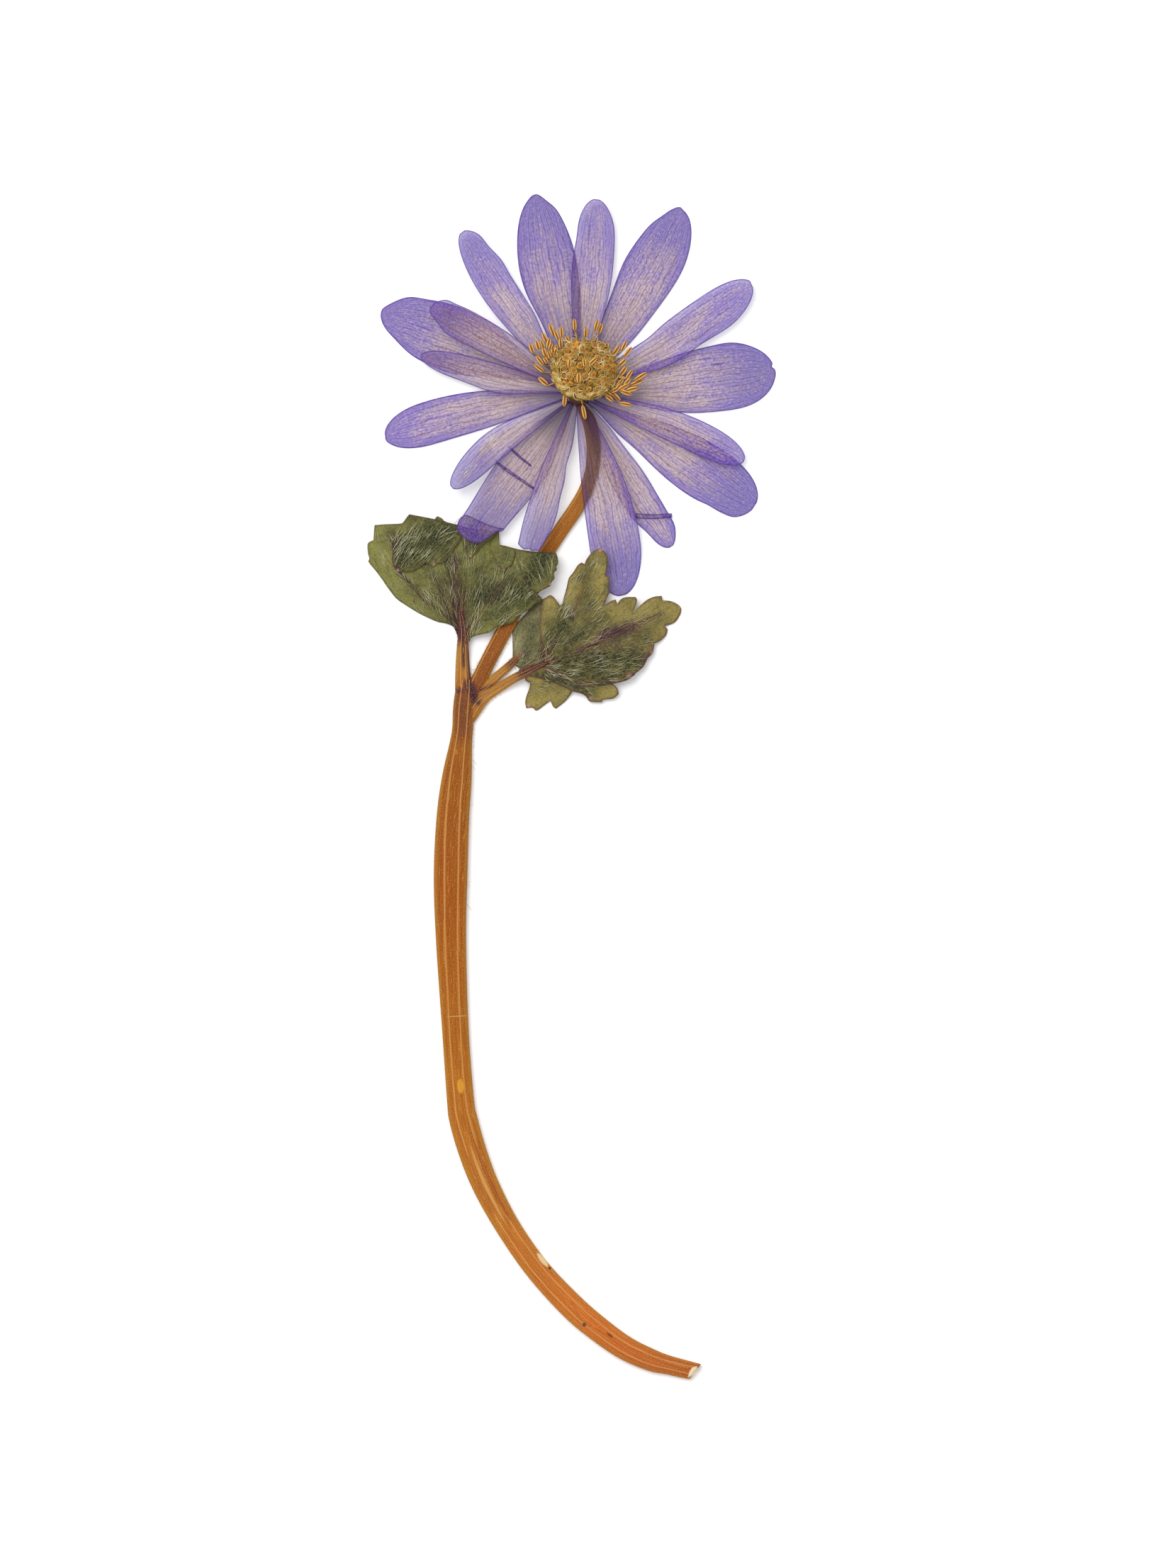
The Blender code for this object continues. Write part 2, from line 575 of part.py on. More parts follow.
tepal_material = make_material("tepal")
parts = [make_tepal(i + 1, tepal, tepal_material) for i, tepal in enumerate(TEPALS)]
parts.append(make_stem(make_material("stalk")))
parts += make_leaves(
    make_material("leaf_left"), make_material("leaf_right"), make_material("leaf_back"))
parts.append(make_carpels(make_material("carpel")))
parts.append(make_stamens(make_material("anther")))

for part in parts:
    file_in(part, flower)
    if not part.name.startswith(("tepal", "leaf")):
        shade_round(part)
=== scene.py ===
import math
import random
from collections import namedtuple

import bpy
import numpy as np
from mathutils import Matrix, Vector, geometry, noise


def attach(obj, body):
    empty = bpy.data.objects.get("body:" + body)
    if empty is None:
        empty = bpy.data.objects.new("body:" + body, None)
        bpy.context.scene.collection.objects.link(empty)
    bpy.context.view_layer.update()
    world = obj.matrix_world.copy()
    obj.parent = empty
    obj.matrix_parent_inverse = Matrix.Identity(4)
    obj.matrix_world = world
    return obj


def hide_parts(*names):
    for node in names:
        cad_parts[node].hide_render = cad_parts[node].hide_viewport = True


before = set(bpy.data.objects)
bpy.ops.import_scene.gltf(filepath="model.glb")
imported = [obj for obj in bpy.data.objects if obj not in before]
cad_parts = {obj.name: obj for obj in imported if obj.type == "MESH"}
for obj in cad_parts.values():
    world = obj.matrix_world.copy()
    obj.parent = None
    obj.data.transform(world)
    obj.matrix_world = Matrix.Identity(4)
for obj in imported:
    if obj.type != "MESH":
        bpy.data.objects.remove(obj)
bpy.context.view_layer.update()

# An anemone flower, picked with its stem, pressed flat and dried, lying face up on a sheet.
# Millimetres throughout, in the frame of the solids: +Y from the cut end to the flower, +Z up
# to the eye.

# The stem. A green stalk that was pressed to a third of its height and dried to a ribbed, horny
# orange brown. It is one growth: the scape, three short petioles that branch off at the node,
# the pedicel that goes on up to the flower, and the small receptacle on its end.

MM = 0.001


def make_piece(name, points, faces, skin, marks=None):
    """A smooth mesh from points in millimetres, with values of its own at each point."""
    mesh = bpy.data.meshes.new(name)
    mesh.from_pydata((np.asarray(points) * MM).tolist(), [], [tuple(face) for face in faces])
    for label, values in (marks or {}).items():
        layer = mesh.attributes.new(label, "FLOAT_VECTOR", "POINT")
        layer.data.foreach_set("vector", np.ravel(values).astype(float))
    mesh.shade_smooth()
    mesh.materials.append(skin)
    piece = bpy.data.objects.new(name, mesh)
    bpy.context.scene.collection.objects.link(piece)
    return piece


def paint(hex_colour):
    """An sRGB hex colour as linear light."""
    channels = [int(hex_colour[i:i + 2], 16) / 255 for i in (0, 2, 4)]
    return (*(c / 12.92 if c <= 0.04045 else ((c + 0.055) / 1.055) ** 2.4 for c in channels), 1)


def add(tree, kind, feeds=None, ramp=(), **settings):
    """Add one node with its settings. Each feed is a value, a hex colour, a node, or a node
    and its output."""
    node = tree.nodes.new("ShaderNode" + kind)
    for setting, value in settings.items():
        setattr(node, setting, value)
    for stop, (place, hex_colour) in enumerate(ramp):
        stops = node.color_ramp.elements
        element = stops[stop] if stop < 2 else stops.new(place)
        element.position = place
        element.color = paint(hex_colour)
    for label, source in (feeds or {}).items():
        sockets = [s for s in node.inputs if s.enabled]
        socket = sockets[label] if isinstance(label, int) else next(
            s for s in sockets if s.name == label)
        output = None
        if isinstance(source, tuple) and isinstance(source[0], bpy.types.Node):
            source, output = source
        if isinstance(source, bpy.types.Node):
            given = source.outputs[output] if output else next(
                s for s in source.outputs if s.enabled)
            tree.links.new(given, socket)
        else:
            socket.default_value = paint(source) if isinstance(source, str) else source
    return node


def new_skin(name, roughness, ior):
    """A material by the name of what it is, with its shader at typical values."""
    skin = bpy.data.materials.new(name)
    skin.use_nodes = True
    shader = skin.node_tree.nodes["Principled BSDF"]
    shader.inputs["Roughness"].default_value = roughness
    shader.inputs["IOR"].default_value = ior
    shader.inputs["Specular IOR Level"].default_value = 0.3
    return skin, skin.node_tree, shader


def lay_colours(tree, colour, layers):
    """Lay colours over one another, each by what drives it, where it starts and is full, and
    the share it has there."""
    for driver, start, full, share, over in layers:
        part = add(tree, "MapRange", {"Value": driver, "From Min": start, "From Max": full,
                                      "To Max": share})
        colour = add(tree, "Mix", {"Factor": part, "A": colour, "B": over}, data_type="RGBA")
    return colour


def smooth_route(points, step):
    """A smooth curve through given points of any number of values, read every step or so."""
    points = np.asarray(points, float)
    padded = np.vstack([2 * points[0] - points[1], points, 2 * points[-1] - points[-2]])
    route = []
    for a, b, c, d in zip(padded, padded[1:], padded[2:], padded[3:]):
        count = max(1, round(float(np.linalg.norm((c - b)[:2])) / step))
        for t in np.arange(count) / count:
            route.append(0.5 * (2 * b + (c - a) * t + (2 * a - 5 * b + 4 * c - d) * t ** 2
                                + (3 * b - a - 3 * c + d) * t ** 3))
    route.append(points[-1])
    return np.array(route)


# Route of each stalk and its full width there, and for the two that climb on their leaves how
# high the underside lies
SCAPE = ((-11.9, 12.2, 1.8), (-12.05, 10.4, 2.3), (-12.2, 8.6, 2.4), (-12.3, 6.6, 2.35),
         (-12.5, 4.9, 2.55), (-12.95, 1.1, 3.35), (-13.4, -3.5, 3.7), (-13.65, -10.0, 3.8),
         (-13.6, -17.3, 3.4), (-13.1, -27.5, 3.0), (-12.55, -35.1, 3.05), (-12.2, -37.5, 3.2),
         (-11.1, -41.3, 3.15), (-9.6, -45.1, 3.0), (-7.1, -49.7, 2.75), (-3.8, -54.4, 2.75),
         (0.0, -58.5, 2.9), (2.9, -61.0, 2.85), (6.0, -63.2, 2.7), (9.0, -64.6, 2.5),
         (10.9, -65.15, 2.15), (12.7, -65.6, 2.05), (13.95, -65.9, 1.95))
PEDICEL = ((-11.5, 10.2, 1.6), (-10.6, 11.9, 1.7), (-9.2, 14.7, 1.76), (-7.3, 18.3, 1.76),
           (-5.0, 22.6, 1.76), (-2.9, 26.4, 1.72), (-1.5, 28.6, 1.72), (0.35, 31.3, 1.7),
           (1.6, 33.5, 1.66), (2.35, 35.9, 1.6), (2.5, 38.4, 1.6), (2.25, 40.4, 1.6),
           (1.8, 41.8, 1.5), (1.1, 42.9, 1.1), (0.75, 44.0, 1.1))
PETIOLE_LEFT = ((-12.0, 9.8, 2.2, 0.0), (-12.2, 11.6, 1.9, 0.0), (-12.3, 14.2, 1.55, 0.0),
                (-12.25, 16.2, 1.35, 0.3), (-12.25, 17.4, 1.15, 0.25), (-12.4, 18.8, 0.9, 0.2),
                (-12.7, 20.3, 0.45, 0.15))
PETIOLE_RIGHT = ((-11.7, 7.4, 1.2, 0.0), (-11.15, 8.5, 1.6, 0.0), (-10.5, 9.5, 1.6, 0.0),
                 (-9.6, 10.4, 1.35, 0.0), (-8.4, 11.15, 1.15, 0.1), (-6.6, 12.25, 1.05, 0.6),
                 (-5.0, 13.05, 1.0, 1.0), (-3.7, 13.7, 0.7, 1.15), (-2.6, 14.15, 0.25, 1.2))
PETIOLE_BACK = ((-11.3, 10.4, 1.2), (-10.0, 11.2, 1.1), (-8.6, 12.4, 1.0), (-7.2, 13.6, 0.95),
                (-6.3, 14.5, 0.8), (-5.8, 15.0, 0.45))
STALK_STEP = 0.45
ARCH_POINTS = 41
UNDERSIDE_POINTS = 5
UNDERSIDE_WIDTH = 0.9
LEAST_HEIGHT = 0.35
HEIGHT_BY_WIDTH = 0.3
SHOULDER_PART = 0.35
RIB_HEIGHT = 0.06
RIB_REACH = 0.1
RIB_SWAY = 0.1
SKIN_UNEVEN = 0.03
CUT_SLANT = 0.45
CUT_REACH = 1.2
CUT_TORN = 0.4

# Where sap dried in dark: at the node, and where the petioles run into their leaves
STALK_BRUISES = (
    (((-11.6, 11.6), (-11.3, 11.0), (-11.1, 10.3)), 0.55, 2.0),
    (((-12.8, 10.85), (-12.4, 10.8)), 0.34, 1.4),
    (((-11.1, 9.8), (-10.5, 9.6)), 0.42, 1.4),
    (((-12.3, 9.8), (-12.1, 6.4)), 1.0, 0.6),
    (((-12.8, 20.4), (-12.5, 18.4), (-12.3, 17.2)), 0.9, 1.8),
    (((-12.3, 17.4), (-12.2, 15.5), (-12.15, 13.6)), 0.24, 1.2),
    (((-11.75, 17.6), (-11.6, 15.0), (-11.5, 12.4)), 0.26, 1.1),
    (((-10.9, 10.85), (-9.9, 11.15), (-8.9, 11.55)), 0.2, 1.1),
    (((-10.4, 10.2), (-9.4, 10.75)), 0.1, 0.8),
    (((-5.5, 13.0), (-3.4, 13.9), (-2.0, 14.3)), 0.75, 1.3),
    (((-7.0, 13.9), (-6.1, 14.5)), 0.45, 1.1))

# Marks on the scape, by the way from its upper end, the place across, their reach each way, their
# colour and its share: a pale oval, a pressed line, a groove between two dark streaks, a worn
# patch, three dark specks, and the pale pith at the cut
SCAPE_MARKS = (
    (46.0, -0.13, 0.9, 0.42, "D5942E", 0.9), (38.1, -0.3, 0.08, 1.3, "D9A866", 0.5),
    (57.6, 0.0, 5.4, 0.22, "D9A35E", 0.6), (57.4, -0.62, 5.6, 0.26, "84340F", 0.6),
    (57.4, 0.6, 4.6, 0.1, "84340F", 0.6), (68.3, -1.1, 1.1, 0.3, "EBD3A2", 0.75),
    (69.6, -1.14, 0.16, 0.16, "35271C", 0.9), (76.9, 0.58, 0.24, 0.26, "4F4038", 0.9),
    (79.9, -0.24, 0.5, 0.14, "6A2E0C", 0.8), (90.3, 0.1, 0.4, 0.8, "F0DEB4", 0.9))
RUN_APART = 100.0


def gap_to_line(points, line):
    """How far each point is from a line of straight runs."""
    points = np.asarray(points, float)[:, :2]
    line = np.asarray(line, float)[:, :2]
    best = np.full(len(points), np.inf)
    for start, end in zip(line[:-1], line[1:]):
        span = end - start
        part = np.clip((points - start) @ span / max(span @ span, 1e-12), 0, 1)
        off = points - start - part[:, None] * span
        best = np.minimum(best, np.hypot(off[:, 0], off[:, 1]))
    return best


def strength(points, strokes):
    """The strongest of several soft brush strokes (line, reach, strength) at each point."""
    best = np.zeros(len(points))
    for line, reach, most in strokes:
        best = np.maximum(best, most * np.exp(-(gap_to_line(points, line) / reach) ** 2))
    return best


def ease(part):
    """A soft step from 0 to 1."""
    part = np.clip(part, 0, 1)
    return part * part * (3 - 2 * part)


def rise(value, start, full):
    """A soft step from 0 where it starts to 1 where it is full."""
    return ease((value - start) / (full - start))


# Dried stalk: horny plant skin over collapsed ribs. It gives the eye an orange brown with fine
# pale and dark lines along it, pits and flakes, dark bruises, smooth ochre rims and a dull
# gloss. The ramp runs from the leaves over the node to the cut end. The lines are 0.1 mm wide,
# drawn at 0.15 mm so that they show.
STREAK_LENGTH, STREAK_WIDTH = 7.143, 0.25
FOLD_LENGTH, FOLD_WIDTH = 20.0, 0.6667
STALK_GRAIN = 0.16667
stalk_skin, tree, shader = new_skin("dried_stalk", 0.5, 1.45)
shader.inputs["Specular IOR Level"].default_value = 0.15
run, ripe = (add(tree, "SeparateXYZ", {
    0: (add(tree, "Attribute", attribute_name=label), "Vector")}) for label in ("run", "ripe"))
colour = add(tree, "ValToRGB", {0: (ripe, "X")}, ramp=(
    (0.00, "5A3A34"), (0.08, "9C6E38"), (0.14, "B07A36"), (0.18, "9C5A16"), (0.22, "84461C"),
    (0.30, "92510E"), (0.45, "9E4E02"), (0.60, "AC6310"), (0.76, "B96E22"), (0.90, "CD6C28"),
    (1.00, "B05A26")))
streaks_at = add(tree, "CombineXYZ", {
    "X": add(tree, "Math", {0: (run, "X"), 1: STREAK_LENGTH}, operation="DIVIDE"),
    "Y": add(tree, "Math", {0: (run, "Y"), 1: STREAK_WIDTH}, operation="DIVIDE")})
streaks = add(tree, "TexNoise", {"Vector": streaks_at, "Scale": 1.0, "Detail": 3.0})
grain_at = add(tree, "CombineXYZ", {"X": (run, "X"), "Y": (run, "Y")})
grain = add(tree, "TexNoise", {"Vector": grain_at, "Scale": 1 / STALK_GRAIN, "Detail": 4.0,
                               "Roughness": 0.7})
folds_at = add(tree, "CombineXYZ", {
    "X": add(tree, "Math", {0: (run, "X"), 1: FOLD_LENGTH}, operation="DIVIDE"),
    "Y": add(tree, "Math", {0: (run, "Y"), 1: FOLD_WIDTH}, operation="DIVIDE")})
folds = add(tree, "TexNoise", {"Vector": folds_at, "Scale": 1.0, "Detail": 1.0})
folds = add(tree, "Math", {0: folds, 1: 11.0}, operation="MULTIPLY")
from_fold = add(tree, "Math", {0: folds, 1: 0.5}, operation="PINGPONG")
inward = add(tree, "MapRange", {"Value": (ripe, "Y"), "From Min": 0.9, "From Max": 0.74})
broken = add(tree, "MapRange", {"Value": grain, "From Min": 0.35, "From Max": 0.6,
                                "To Min": 0.2, "To Max": 0.6})
worn = add(tree, "Math", {0: inward, 1: broken}, operation="MULTIPLY")
pale_lines, dark_lines = (add(tree, "Math", {
    0: add(tree, "MapRange", {"Value": from_fold, "From Min": start, "From Max": full}), 1: worn},
    operation="MULTIPLY") for start, full in ((0.12, 0.03), (0.36, 0.46)))
bruise = add(tree, "Math", {
    0: (ripe, "Z"),
    1: add(tree, "MapRange", {"Value": grain, "From Min": 0.4, "From Max": 0.56,
                              "To Min": 0.5})}, operation="MULTIPLY")
# Dark streaks and lines, ochre rims, pale lines, bruises, pits, flakes, and a painted highlight
# on the ribs' crests
colour = lay_colours(tree, colour, (
    (streaks, 0.5, 0.7, 0.3, "6E3414"), (dark_lines, 0.0, 1.0, 1.0, "84420E"),
    ((ripe, "Y"), 0.74, 0.86, 0.55, "AA7A2C"), (pale_lines, 0.0, 1.0, 1.0, "CC9040"),
    (bruise, 0.0, 1.0, 1.0, "43222E"), (grain, 0.45, 0.34, 0.5, "5E3210"),
    (grain, 0.55, 0.66, 0.5, "D2A264"), ((run, "Z"), 0.55, 0.95, 0.6, "D9A05C")))
for along, across, reach_along, reach_across, shade, share in SCAPE_MARKS:
    spot = add(tree, "Mapping", {
        "Vector": grain_at, "Scale": (1 / reach_along, 1 / reach_across, 1.0),
        "Location": (-(along + RUN_APART) / reach_along, -across / reach_across, 0.0)})
    gone = add(tree, "VectorMath", {0: spot}, operation="LENGTH")
    gone = add(tree, "Math", {0: grain, 1: 0.8, 2: gone}, operation="MULTIPLY_ADD")
    colour = lay_colours(tree, colour, ((gone, 1.4, 1.15, share, shade),))
tree.links.new(colour.outputs[2], shader.inputs["Base Color"])
relief = add(tree, "Math", {0: streaks, 1: grain}, operation="ADD")
relief = add(tree, "Math", {0: pale_lines, 1: 0.8, 2: relief}, operation="MULTIPLY_ADD")
relief = add(tree, "Math", {0: dark_lines, 1: -0.8, 2: relief}, operation="MULTIPLY_ADD")
bump = add(tree, "Bump", {"Strength": 0.5, "Distance": 0.12 * MM, "Height": relief})
tree.links.new(bump.outputs["Normal"], shader.inputs["Normal"])


def ring_walls(start, rings, sides):
    """The faces between rings of points, from the number of their first point on."""
    walls = []
    for low in range(start, start + (rings - 1) * sides, sides):
        for i in range(sides):
            j = (i + 1) % sides
            walls.append((low + i, low + j, low + sides + j, low + sides + i))
    return walls


def ring_ends(start, rings, sides):
    """The two faces that close a row of rings."""
    last = start + (rings - 1) * sides
    return [[start + i for i in range(sides)][::-1], [last + i for i in range(sides)]]


def make_stalk(name, route, ribs, ripe_from, ripe_to, seed, slant):
    """A flat-bottomed arch with its ribs, swept along the route, closed at both ends."""
    stations = smooth_route(route, STALK_STEP)
    points, runs, ripes = [], [], []
    travelled = 0.0
    for index, station in enumerate(stations):
        x, y, width = station[:3]
        base = station[3] if len(station) > 3 else 0.0
        before = stations[max(0, index - 1)]
        after = stations[min(len(stations) - 1, index + 1)]
        ahead = (after - before)[:2] / np.linalg.norm((after - before)[:2])
        if index:
            travelled += np.linalg.norm((station - before)[:2])
        height = LEAST_HEIGHT + HEIGHT_BY_WIDTH * width
        shoulder = SHOULDER_PART * height
        crown = height - RIB_HEIGHT - shoulder
        cut = ease(1 - (len(stations) - 1 - index) * STALK_STEP / CUT_REACH) * slant
        ring = []
        for step in range(ARCH_POINTS):
            turn = math.pi * step / (ARCH_POINTS - 1)
            arch = math.sqrt(math.sin(turn) + 1e-9)
            across = math.cos(turn)
            sway = RIB_SWAY * noise.noise(Vector((travelled * 0.06, seed, 0)))
            crest = max(math.exp(-((across - rib - sway) / RIB_REACH) ** 2) for rib in ribs)
            fine = SKIN_UNEVEN * noise.noise(Vector((travelled * 0.9, turn * 5, seed)))
            ring.append((width / 2 * across, shoulder + crown * arch + RIB_HEIGHT * crest + fine,
                         crest))
        for step in range(1, UNDERSIDE_POINTS + 1):
            side = -1 + 2 * step / (UNDERSIDE_POINTS + 1)
            ring.append((width / 2 * UNDERSIDE_WIDTH * side, 0.0, 0.0))
        for across, up, crest in ring:
            tear = CUT_TORN * noise.noise(Vector((across * 4, up, 5)))
            torn = cut * (across / (width / 2) + tear)
            points.append((x + ahead[1] * across - ahead[0] * torn,
                           y - ahead[0] * across - ahead[1] * torn, base + up))
            runs.append((travelled + RUN_APART * seed, across, crest))
            ripes.append((0, abs(across) / (width / 2), 0))
    count = ARCH_POINTS + UNDERSIDE_POINTS
    ripes = np.array(ripes)
    ripes[:, 0] = np.repeat(np.linspace(ripe_from, ripe_to, len(stations)), count)
    ripes[:, 2] = strength(points, STALK_BRUISES)
    faces = ring_ends(0, len(stations), count) + ring_walls(0, len(stations), count)
    return make_piece(name, points, faces, stalk_skin, {"run": runs, "ripe": ripes})


# Each stalk's route, where its ribs stand across it, its stretch of the colour ramp, its seed,
# and the slant of its cut end
for name, route, ribs, ripe_from, ripe_to, seed, slant in (
        ("scape", SCAPE, (-0.42, 0.4), 0.24, 1.0, 1, CUT_SLANT),
        ("pedicel", PEDICEL, (-0.7,), 0.22, 0.14, 2, 0.0),
        ("petiole_left", PETIOLE_LEFT, (-0.3, 0.4), 0.2, 0.03, 3, 0.0),
        ("petiole_right", PETIOLE_RIGHT, (-0.3, 0.35), 0.17, 0.06, 4, 0.0),
        ("petiole_back", PETIOLE_BACK, (-0.2, 0.4), 0.17, 0.1, 5, 0.0)):
    stalk = make_stalk(name, route, ribs, ripe_from, ripe_to, seed, slant)
    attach(stalk, "root")
    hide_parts("stem")

# The receptacle: the pedicel's swollen end, on which tepals, stamens and carpels sit. It is
# hidden under them, and dried to the same horny skin.
HEAD = (0.7, 44.5)
RECEPTACLE = ((0.0, 0.0), (1.2, 0.0), (1.3, 0.4), (1.25, 1.2), (1.1, 2.0), (1.15, 2.4), (0.0, 2.5))
RECEPTACLE_SIDES = 28

points, runs = [], []
for radius, up in RECEPTACLE:
    for side in range(RECEPTACLE_SIDES):
        turn = 2 * math.pi * side / RECEPTACLE_SIDES
        wide = radius * (1 + 0.05 * math.cos(6 * turn))
        points.append((HEAD[0] + wide * math.cos(turn), HEAD[1] + wide * math.sin(turn), up))
        runs.append((up, turn, 0))
receptacle = make_piece("receptacle", points, ring_walls(0, len(RECEPTACLE), RECEPTACLE_SIDES),
                        stalk_skin, {"run": runs, "ripe": [(0.0, 0.3, 0)] * len(points)})
weld = receptacle.modifiers.new("weld", "WELD")
weld.merge_threshold = 0.01 * MM
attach(receptacle, "root")
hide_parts("stem")

# The leaves. Three leaves of the whorl below the flower, each a soft hairy blade cut into
# toothed lobes. Pressed and dried they are paper thin, olive to dark green, red brown along the
# rims and veins. The left one dried with its lobes folded back over it.
LEAF_LEFT = (
    (-22.31, 28.76), (-22.36, 27.91), (-22.8, 27.73), (-23.04, 27.4), (-22.98, 26.4),
    (-22.83, 25.88), (-22.95, 25.54), (-22.74, 25.21), (-22.12, 24.47), (-21.35, 23.44),
    (-20.91, 22.77), (-20.29, 21.93), (-19.73, 21.29), (-18.84, 20.66), (-17.36, 19.74),
    (-16.32, 19.22), (-15.21, 18.73), (-14.25, 18.53), (-13.51, 18.26), (-13.04, 17.74),
    (-12.85, 16.78), (-12.62, 16.04), (-11.88, 16.04), (-11.51, 16.48), (-11.22, 16.96),
    (-10.4, 17.22), (-9.15, 17.52), (-8.48, 18.08), (-7.52, 18.38), (-6.48, 18.73),
    (-5.96, 19.32), (-4.71, 20.11), (-4.12, 20.7), (-3.45, 21.07), (-3.36, 21.4),
    (-3.82, 21.81), (-3.48, 22.14), (-2.93, 22.43), (-2.31, 22.76), (-2.24, 23.17),
    (-1.91, 23.59), (-1.97, 24.18), (-1.64, 24.55), (-1.7, 24.92), (-1.5, 25.36),
    (-1.59, 26.07), (-1.82, 26.52), (-3.3, 26.57), (-4.63, 26.66), (-5.82, 26.84),
    (-7.22, 27.21), (-8.15, 27.4), (-8.18, 28.94), (-11, 29.21), (-12.89, 29.62),
    (-14.22, 30.01), (-14.69, 30.42), (-15.18, 30.63), (-15.46, 30.27), (-16.91, 30.57),
    (-18.32, 30.84), (-18.69, 30.36), (-19.1, 29.83), (-20.76, 29.73), (-22.24, 29.62))
FOLDED_LOBES = (
    ((-19.1, 29.83), (-19.73, 29.43), (-20.17, 29.06), (-20.05, 28.25), (-20.29, 27.4),
     (-20.17, 26.4), (-20.29, 25.58), (-20.05, 24.92), (-19.67, 24.27), (-18.84, 24.3),
     (-17.92, 24.39), (-17.21, 24.77), (-16.44, 25.24), (-16.03, 25.14), (-15.66, 24.89),
     (-15.21, 25.21), (-14.4, 25.44), (-13.66, 26.18), (-13.14, 26.99), (-12.74, 27.58),
     (-12.4, 28.32), (-12.77, 29.62), (-15.43, 30.27), (-16.91, 30.57), (-18.32, 30.84),
     (-18.69, 30.36)),
    ((-12.7, 29.5), (-12.4, 28.32), (-12.25, 27.43), (-11.91, 26.66), (-11.56, 25.84),
     (-11.11, 26.07), (-10.55, 26.69), (-9.96, 27.4), (-9.52, 27.73), (-8.92, 28.1),
     (-8.18, 28.94), (-11, 29.21)),
    ((-8.18, 28.94), (-8.92, 28.1), (-9.15, 27.58), (-9.04, 26.69), (-8.7, 25.88),
     (-8.41, 25.07), (-8.01, 24.7), (-7.62, 24.24), (-7.3, 24.77), (-6.82, 25.07),
     (-6.56, 25.66), (-6.38, 26.32), (-6.33, 26.84), (-7.22, 27.21), (-8.15, 27.4)),
    ((-6.33, 26.84), (-6.19, 25.51), (-5.89, 24.77), (-5.64, 24.03), (-5.25, 23.29),
     (-4.63, 22.4), (-4.04, 21.93), (-3.48, 22.14), (-2.93, 22.43), (-2.31, 22.76),
     (-2.24, 23.17), (-1.91, 23.59), (-1.97, 24.18), (-1.64, 24.55), (-1.7, 24.92),
     (-1.5, 25.36), (-1.59, 26.07), (-1.82, 26.52), (-3.3, 26.57), (-4.63, 26.66),
     (-5.82, 26.84)))
LEAF_RIGHT = (
    (-3.45, 19.81), (-3.59, 17.61), (-3.34, 15.96), (-3.59, 14.86), (-4.55, 14.3), (-6, 13.27),
    (-5.65, 12.79), (-5.27, 12.38), (-5.17, 12.03), (-4.66, 11.76), (-4.8, 11.14),
    (-5.1, 10.31), (-5.24, 9.62), (-5.13, 8.96), (-4.41, 9), (-4.07, 8.68), (-3.73, 8.79),
    (-3.17, 9.21), (-2.38, 9.79), (-2.1, 9.14), (-1.77, 8.9), (-0.83, 9.62), (-0.35, 10.17),
    (0.13, 10.86), (1.1, 10.65), (1.65, 10.31), (2.09, 9.69), (3.41, 9.62), (3.6, 9.9),
    (4.68, 10.03), (5.31, 10.52), (5.26, 11), (4.95, 11.44), (4.4, 11.76), (5.5, 12.03),
    (6.61, 12.38), (7.09, 12.76), (7.57, 13.13), (8.12, 13.62), (8.33, 14.03), (8.67, 14.65),
    (9.14, 15.1), (9.28, 15.68), (9.36, 16.23), (10.05, 16.58), (10.67, 17.2), (10.85, 17.86),
    (10.53, 18.23), (11.57, 18.57), (12.12, 19.26), (12.35, 19.81), (12.32, 20.37),
    (11.7, 20.85), (11.01, 21.08), (10.24, 21.12), (10.19, 21.63), (9.36, 21.54),
    (8.54, 21.19), (7.71, 20.5), (6.85, 19.7), (7.09, 20.16), (7.41, 21.05), (7.23, 21.5),
    (6.06, 21.47), (5.5, 21.19), (5.16, 20.71), (4.98, 21.22), (4.4, 21.03), (3.69, 20.53),
    (3.99, 21.33), (4.29, 22.02), (4.2, 22.57), (4.29, 23.33), (4.21, 23.7), (3.88, 23.95),
    (3.99, 24.64), (4.1, 25.46), (4.06, 26.01), (3.78, 26.56), (3.26, 26.98), (2.82, 26.81),
    (2.34, 26.56), (1.92, 26.08), (1.65, 25.67), (1.48, 25.21), (1.1, 25.38), (0.68, 25.05),
    (0.27, 24.39), (-0.07, 23.95), (-0.35, 23.53), (-0.56, 22.57), (-0.83, 21.61),
    (-1.08, 20.78), (-1.31, 20.53), (-1.66, 21.05), (-2.07, 21.54), (-2.42, 21.72),
    (-3.17, 21.3))
LEAF_BACK = (
    (-6.65, 14.3), (-6.2, 13.65), (-5.5, 13.35), (-4.5, 13.5), (-3.4, 14.5), (-2.7, 18.44),
    (-2.7, 21.19), (-3.59, 21.3), (-4.2, 21.1), (-4.9, 19.95), (-5.52, 19.26), (-6.2, 18.57),
    (-6.69, 18.44), (-6.65, 15.27))
# Lobes of the right leaf that dried over one another: a lower one folded up, and the rolled rim
LOWER_LOBE = (
    (-4.79, 12.61), (-2.65, 12.08), (-1.32, 11.55), (0.1, 10.86), (1.1, 10.6), (1.65, 10.25),
    (2.09, 9.69), (3.41, 9.62), (3.6, 9.9), (4.68, 10.03), (5.31, 10.52), (5.26, 11),
    (4.95, 11.44), (4.28, 11.8), (2.01, 11.95), (0.15, 12.35), (-0.92, 13.01), (-2.92, 13.6),
    (-4.45, 13.15))
ROLLED_RIM = (
    (-2.92, 13.41), (-0.92, 12.78), (0.15, 12.2), (2.01, 11.95), (4.01, 12.13), (6.01, 12.5),
    (6.81, 12.98), (7.2, 12.75), (6.15, 12.05), (4.15, 11.62), (2.01, 11.38), (0.01, 11.6),
    (-1.05, 12.2), (-2.99, 13.05))
LEAF_THICKNESS = 0.26
LEAF_RIM_THICKNESS = 0.12
